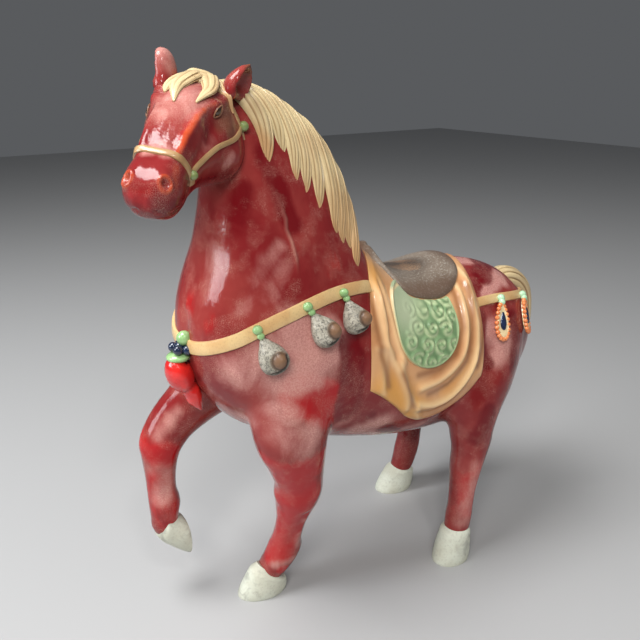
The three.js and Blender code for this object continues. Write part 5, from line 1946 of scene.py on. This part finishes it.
def hoof_glaze():
    made, tree, shader = material("hoof_glaze")
    uneven = use_group(tree, UNEVEN, Drift_Scale=60.0, Speck_Scale=500.0)
    smudge = spread(tree, noise(tree, 70.0, detail=5.0, roughness=0.65, warp=0.8), 0.52, 0.72)
    colour = mix_colour(tree, uneven["Drift"], HOOF_WHITE, HOOF_GREY)
    colour = mix_colour(tree, weaker(tree, smudge, 0.6), colour, HOOF_SMUDGE)
    colour = mix_colour(tree, weaker(tree, uneven["Specks"], 0.25), colour, HOOF_SPECK)
    tree.links.new(colour, shader.inputs["Base Color"])
    shader.inputs["Roughness"].default_value = 0.7
    add_bump(tree, shader, uneven["Specks"], 0.35, 0.4)
    return made


# Paint places for the dressing

MANE_TAN_TOP = 352
MANE_TAN_REAR = 80
RIDGE_REACH_SHARE = 0.7
RIDGE_FULL_LIFT = 3
VALLEY_REACH = 2.6
SPIRAL_PAINT_REACH = 1.3

# Hollows between the blanket's folds seen from the side, where shade is painted, and its golden places
SHADED_VALLEYS = [
    [(66, 236), (60, 204), (50, 188), (34, 180), (14, 180)],
    [(77, 228), (69, 201), (60, 180), (42, 166), (24, 163)],
    [(-17, 240), (-17, 200), (-12, 178)],
    [(-2, 186), (9, 158)],
    [(92, 226), (82, 200), (72, 172)],
]
GOLD_PLACES = [
    ([(-13, -53, 176), (0, -54, 164), (10, -50, 154)], 13, 0.9),
    ([(-14, -40, 248), (-4, -30, 250)], 8, 0.55),
    ([(44, -56, 160), (66, -56, 170)], 8, 0.35),
    ([(-13, 53, 176), (10, 50, 154)], 13, 0.9),
]
# Painted shade in the dish of the seat: path, reach, strength
SEAT_DISH_SHADE = [
    ([(34, 0, 246), (52, 0, 243)], 13, 0.9),
    ([(10, 4, 256)], 7, 0.5),
]


def paint_cream(piece):
    """Tan where the glaze has run: low on the mane, and beside the brow."""
    points = points_of(piece)
    reach, left, _ = into_head(points).T
    low_mane = 0.95 * ease(MANE_TAN_TOP - points[:, 2], 20, 110)
    low_mane = low_mane * ease(MANE_TAN_REAR - points[:, 0], 0, 40)
    beside_brow = 0.8 * ease(left, 12, 17) * ease(reach, -4, 2) * ease(60 - reach, 0, 10)
    paint(piece, "tan", np.maximum(low_mane, beside_brow))


def paint_blanket(piece):
    points = points_of(piece)
    seen = points[:, [0, 2]]
    # Painted highlights along the ridges of the folds, painted shade in the valleys between them
    ridge_highlight = np.zeros(len(points))
    for path, reach, lift in SMOOTH_FOLDS:
        if lift > 0:
            near = bump(distance_to_path(seen, path), reach * RIDGE_REACH_SHARE)
            ridge_highlight = np.maximum(ridge_highlight, min(1, lift / RIDGE_FULL_LIFT) * near)
    valley_shade = bump(distance_to_any(seen, SHADED_VALLEYS), VALLEY_REACH)
    low = ease(FOLD_TOP - points[:, 2], 0, 20)
    paint(piece, "ridge_highlight", 0.75 * ridge_highlight * low)
    paint(piece, "hollow", 0.75 * valley_shade * low)
    paint(piece, "gold", patches(points, GOLD_PLACES))


def paint_flap(piece):
    points = points_of(piece)
    seen = points[:, [0, 2]]
    relief = spirals(seen, SPIRAL_PAINT_REACH)
    outline = np.stack(flap_outline(np.linspace(0, 2 * math.pi, 73)), -1)
    gap = distance_to_path(seen, outline)
    dusty = plain_corner(seen)
    paint(piece, "relief", 0.8 * relief * ease(gap, 1.5, 3) * (1 - 0.7 * dusty))
    paint(piece, "hollow", (1 - relief) ** 1.5 * 0.85 * ease(gap, 1.5, 4) * (1 - dusty))
    paint(piece, "rim", (1 - ease(gap, 0.5, 1.6)) * ease(36 - points[:, 0], 0, 20))
    paint(piece, "dust", 0.65 * dusty)


def paint_seat(piece):
    points = points_of(piece)
    # painted shade in the dish of the seat
    paint(piece, "hollow", patches(points, SEAT_DISH_SHADE))
    low = ease(np.abs(points[:, 1]), 24, 34)
    paint(piece, "rim", 0.75 * np.maximum(low, ease(points[:, 0], 72, 84)))
    paint(piece, "front", 0.9 * ease(14 - points[:, 0], 0, 14))


# Putting the figure together

def finish_piece(piece, look):
    piece.data.materials.append(look)
    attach(piece, "root")


def build_body(red):
    piece = body()
    glaze_body(piece)
    finish_piece(piece, red)
    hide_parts("horse")
    return surface_tree(piece)


def build_head(red, looks):
    piece = head()
    glaze_head(piece)
    finish_piece(piece, red)
    tree = surface_tree(piece)
    for side in (LEFT, RIGHT):
        eye, lids = eye_pieces(side, tree)
        finish_piece(eye, looks["eye_dark"])
        finish_piece(lids, looks["lid_tan"])
    return tree


def build_hooves():
    white = hoof_glaze()
    for name in HOOVES:
        finish_piece(hoof(name), white)


def build_hair(head_tree):
    cream = cream_glaze()
    for piece in (mane(), forelock(head_tree), tail()):
        paint_cream(piece)
        finish_piece(piece, cream)


def build_saddle():
    cloth = blanket()
    paint_blanket(cloth)
    finish_piece(cloth, blanket_glaze())
    green = green_glaze()
    for side in (LEFT, RIGHT):
        plate = flap(side)
        paint_flap(plate)
        finish_piece(plate, green)
    top = seat()
    paint_seat(top)
    finish_piece(top, saddle_glaze())


def build_straps(body_tree, head_tree, looks):
    chest = band("chest_strap", CHEST_STRAP, body_tree, 4.3, 2.0, 200)
    finish_piece(chest, looks["strap_glaze"])
    crupper = band("crupper_strap", CRUPPER_STRAP, body_tree, 3.6, 1.8, 160)
    finish_piece(crupper, looks["strap_glaze"])
    straps, beads = bridle(head_tree)
    finish_piece(straps, looks["bridle_tan"])
    finish_piece(beads, looks["bead_olive"])


def build_ornaments(tree, looks):
    mottled = bell_glaze()
    for side in (LEFT, RIGHT):
        for index in range(len(BELLS)):
            shell, pair = bell(index, side, tree)
            finish_piece(shell, mottled)
            finish_piece(pair, looks["bead_glaze"])
        for index in range(len(PENDANTS)):
            rim, plate, stone, pair = pendant(index, side, tree)
            finish_piece(rim, looks["pendant_orange"])
            finish_piece(plate, looks["pendant_cream"])
            finish_piece(stone, looks["ink_blue"])
            finish_piece(pair, looks["mint_glaze"])
    tuft, blue, green = tassel()
    finish_piece(tuft, looks["tassel_red"])
    finish_piece(blue, looks["ink_blue"])
    finish_piece(green, looks["bead_glaze"])


def build():
    red = red_glaze()
    looks = {name: small_glaze(name) for name in SMALL_GLAZES}
    body_tree = build_body(red)
    head_tree = build_head(red, looks)
    build_hooves()
    build_hair(head_tree)
    build_saddle()
    build_straps(body_tree, head_tree, looks)
    build_ornaments(body_tree, looks)


# Studio: pale floor, soft lights and the camera at the photograph's angle

CAMERA_AT = (-0.30194, -0.38006, 0.380)
CAMERA_PITCH = 70
CAMERA_HEADING = -35
CAMERA_LENS = 39.375
CAMERA_SENSOR = 36
FLOOR_SIZE = 6
FLOOR_GREY = 0.38
FLOOR_ROUGHNESS = 0.6
SKY = (0.5, 0.52, 0.55, 1)
SKY_STRENGTH = 0.2
WHITE = (1, 1, 1)

# Lights: place, aim, breadth, height, power, colour, and whether the glaze mirrors them
LIGHTS = {
    "key": ((-0.9, -0.9, 1.1), (0, 0, 0.2), 0.5, 0.5, 17, (1, 0.98, 0.95), False),
    "spark": ((-0.35, -0.9, 1.2), (0, 0, 0.2), 0.12, 0.12, 3, WHITE, True),
    "top": ((-0.55, 0.1, 1.35), (0, 0, 0.2), 0.6, 0.6, 19, WHITE, True),
    "window": ((-1.3, 0.3, 0.8), (-0.05, 0, 0.22), 0.55, 0.7, 12, (0.92, 0.96, 1), True),
    "side": ((1.3, -1.1, 0.8), (0, 0, 0.2), 1.8, 1.8, 6, WHITE, False),
}


def area_light(name, at, aim, breadth, height, power, colour, mirrored_in_glaze):
    data = bpy.data.lights.new(name, "AREA")
    data.energy = power
    data.color = colour
    data.shape = "RECTANGLE"
    data.size = breadth
    data.size_y = height
    lamp = bpy.data.objects.new(name, data)
    lamp.location = at
    lamp.rotation_euler = (Vector(aim) - Vector(at)).to_track_quat("-Z", "Y").to_euler()
    lamp.visible_glossy = mirrored_in_glaze
    bpy.context.scene.collection.objects.link(lamp)


def pale_floor():
    deselect()
    bpy.ops.mesh.primitive_plane_add(size=FLOOR_SIZE, location=(0, 0, 0))
    floor = bpy.context.object
    floor.name = "floor"
    made, _, shader = material("pale_floor")
    shader.inputs["Base Color"].default_value = (FLOOR_GREY, FLOOR_GREY, FLOOR_GREY, 1)
    shader.inputs["Roughness"].default_value = FLOOR_ROUGHNESS
    floor.data.materials.append(made)


def soft_sky():
    world = bpy.data.worlds.new("studio")
    world.use_nodes = True
    background = world.node_tree.nodes["Background"]
    background.inputs["Color"].default_value = SKY
    background.inputs["Strength"].default_value = SKY_STRENGTH
    bpy.context.scene.world = world
    bpy.context.scene.view_settings.view_transform = "Standard"


def photo_camera():
    data = bpy.data.cameras.new("camera")
    data.lens = CAMERA_LENS
    data.sensor_width = CAMERA_SENSOR
    camera = bpy.data.objects.new("camera", data)
    camera.location = CAMERA_AT
    camera.rotation_euler = (math.radians(CAMERA_PITCH), 0, math.radians(CAMERA_HEADING))
    bpy.context.scene.collection.objects.link(camera)
    bpy.context.scene.camera = camera


def studio():
    pale_floor()
    for name, values in LIGHTS.items():
        area_light(name, *values)
    soft_sky()
    photo_camera()


build()
studio()
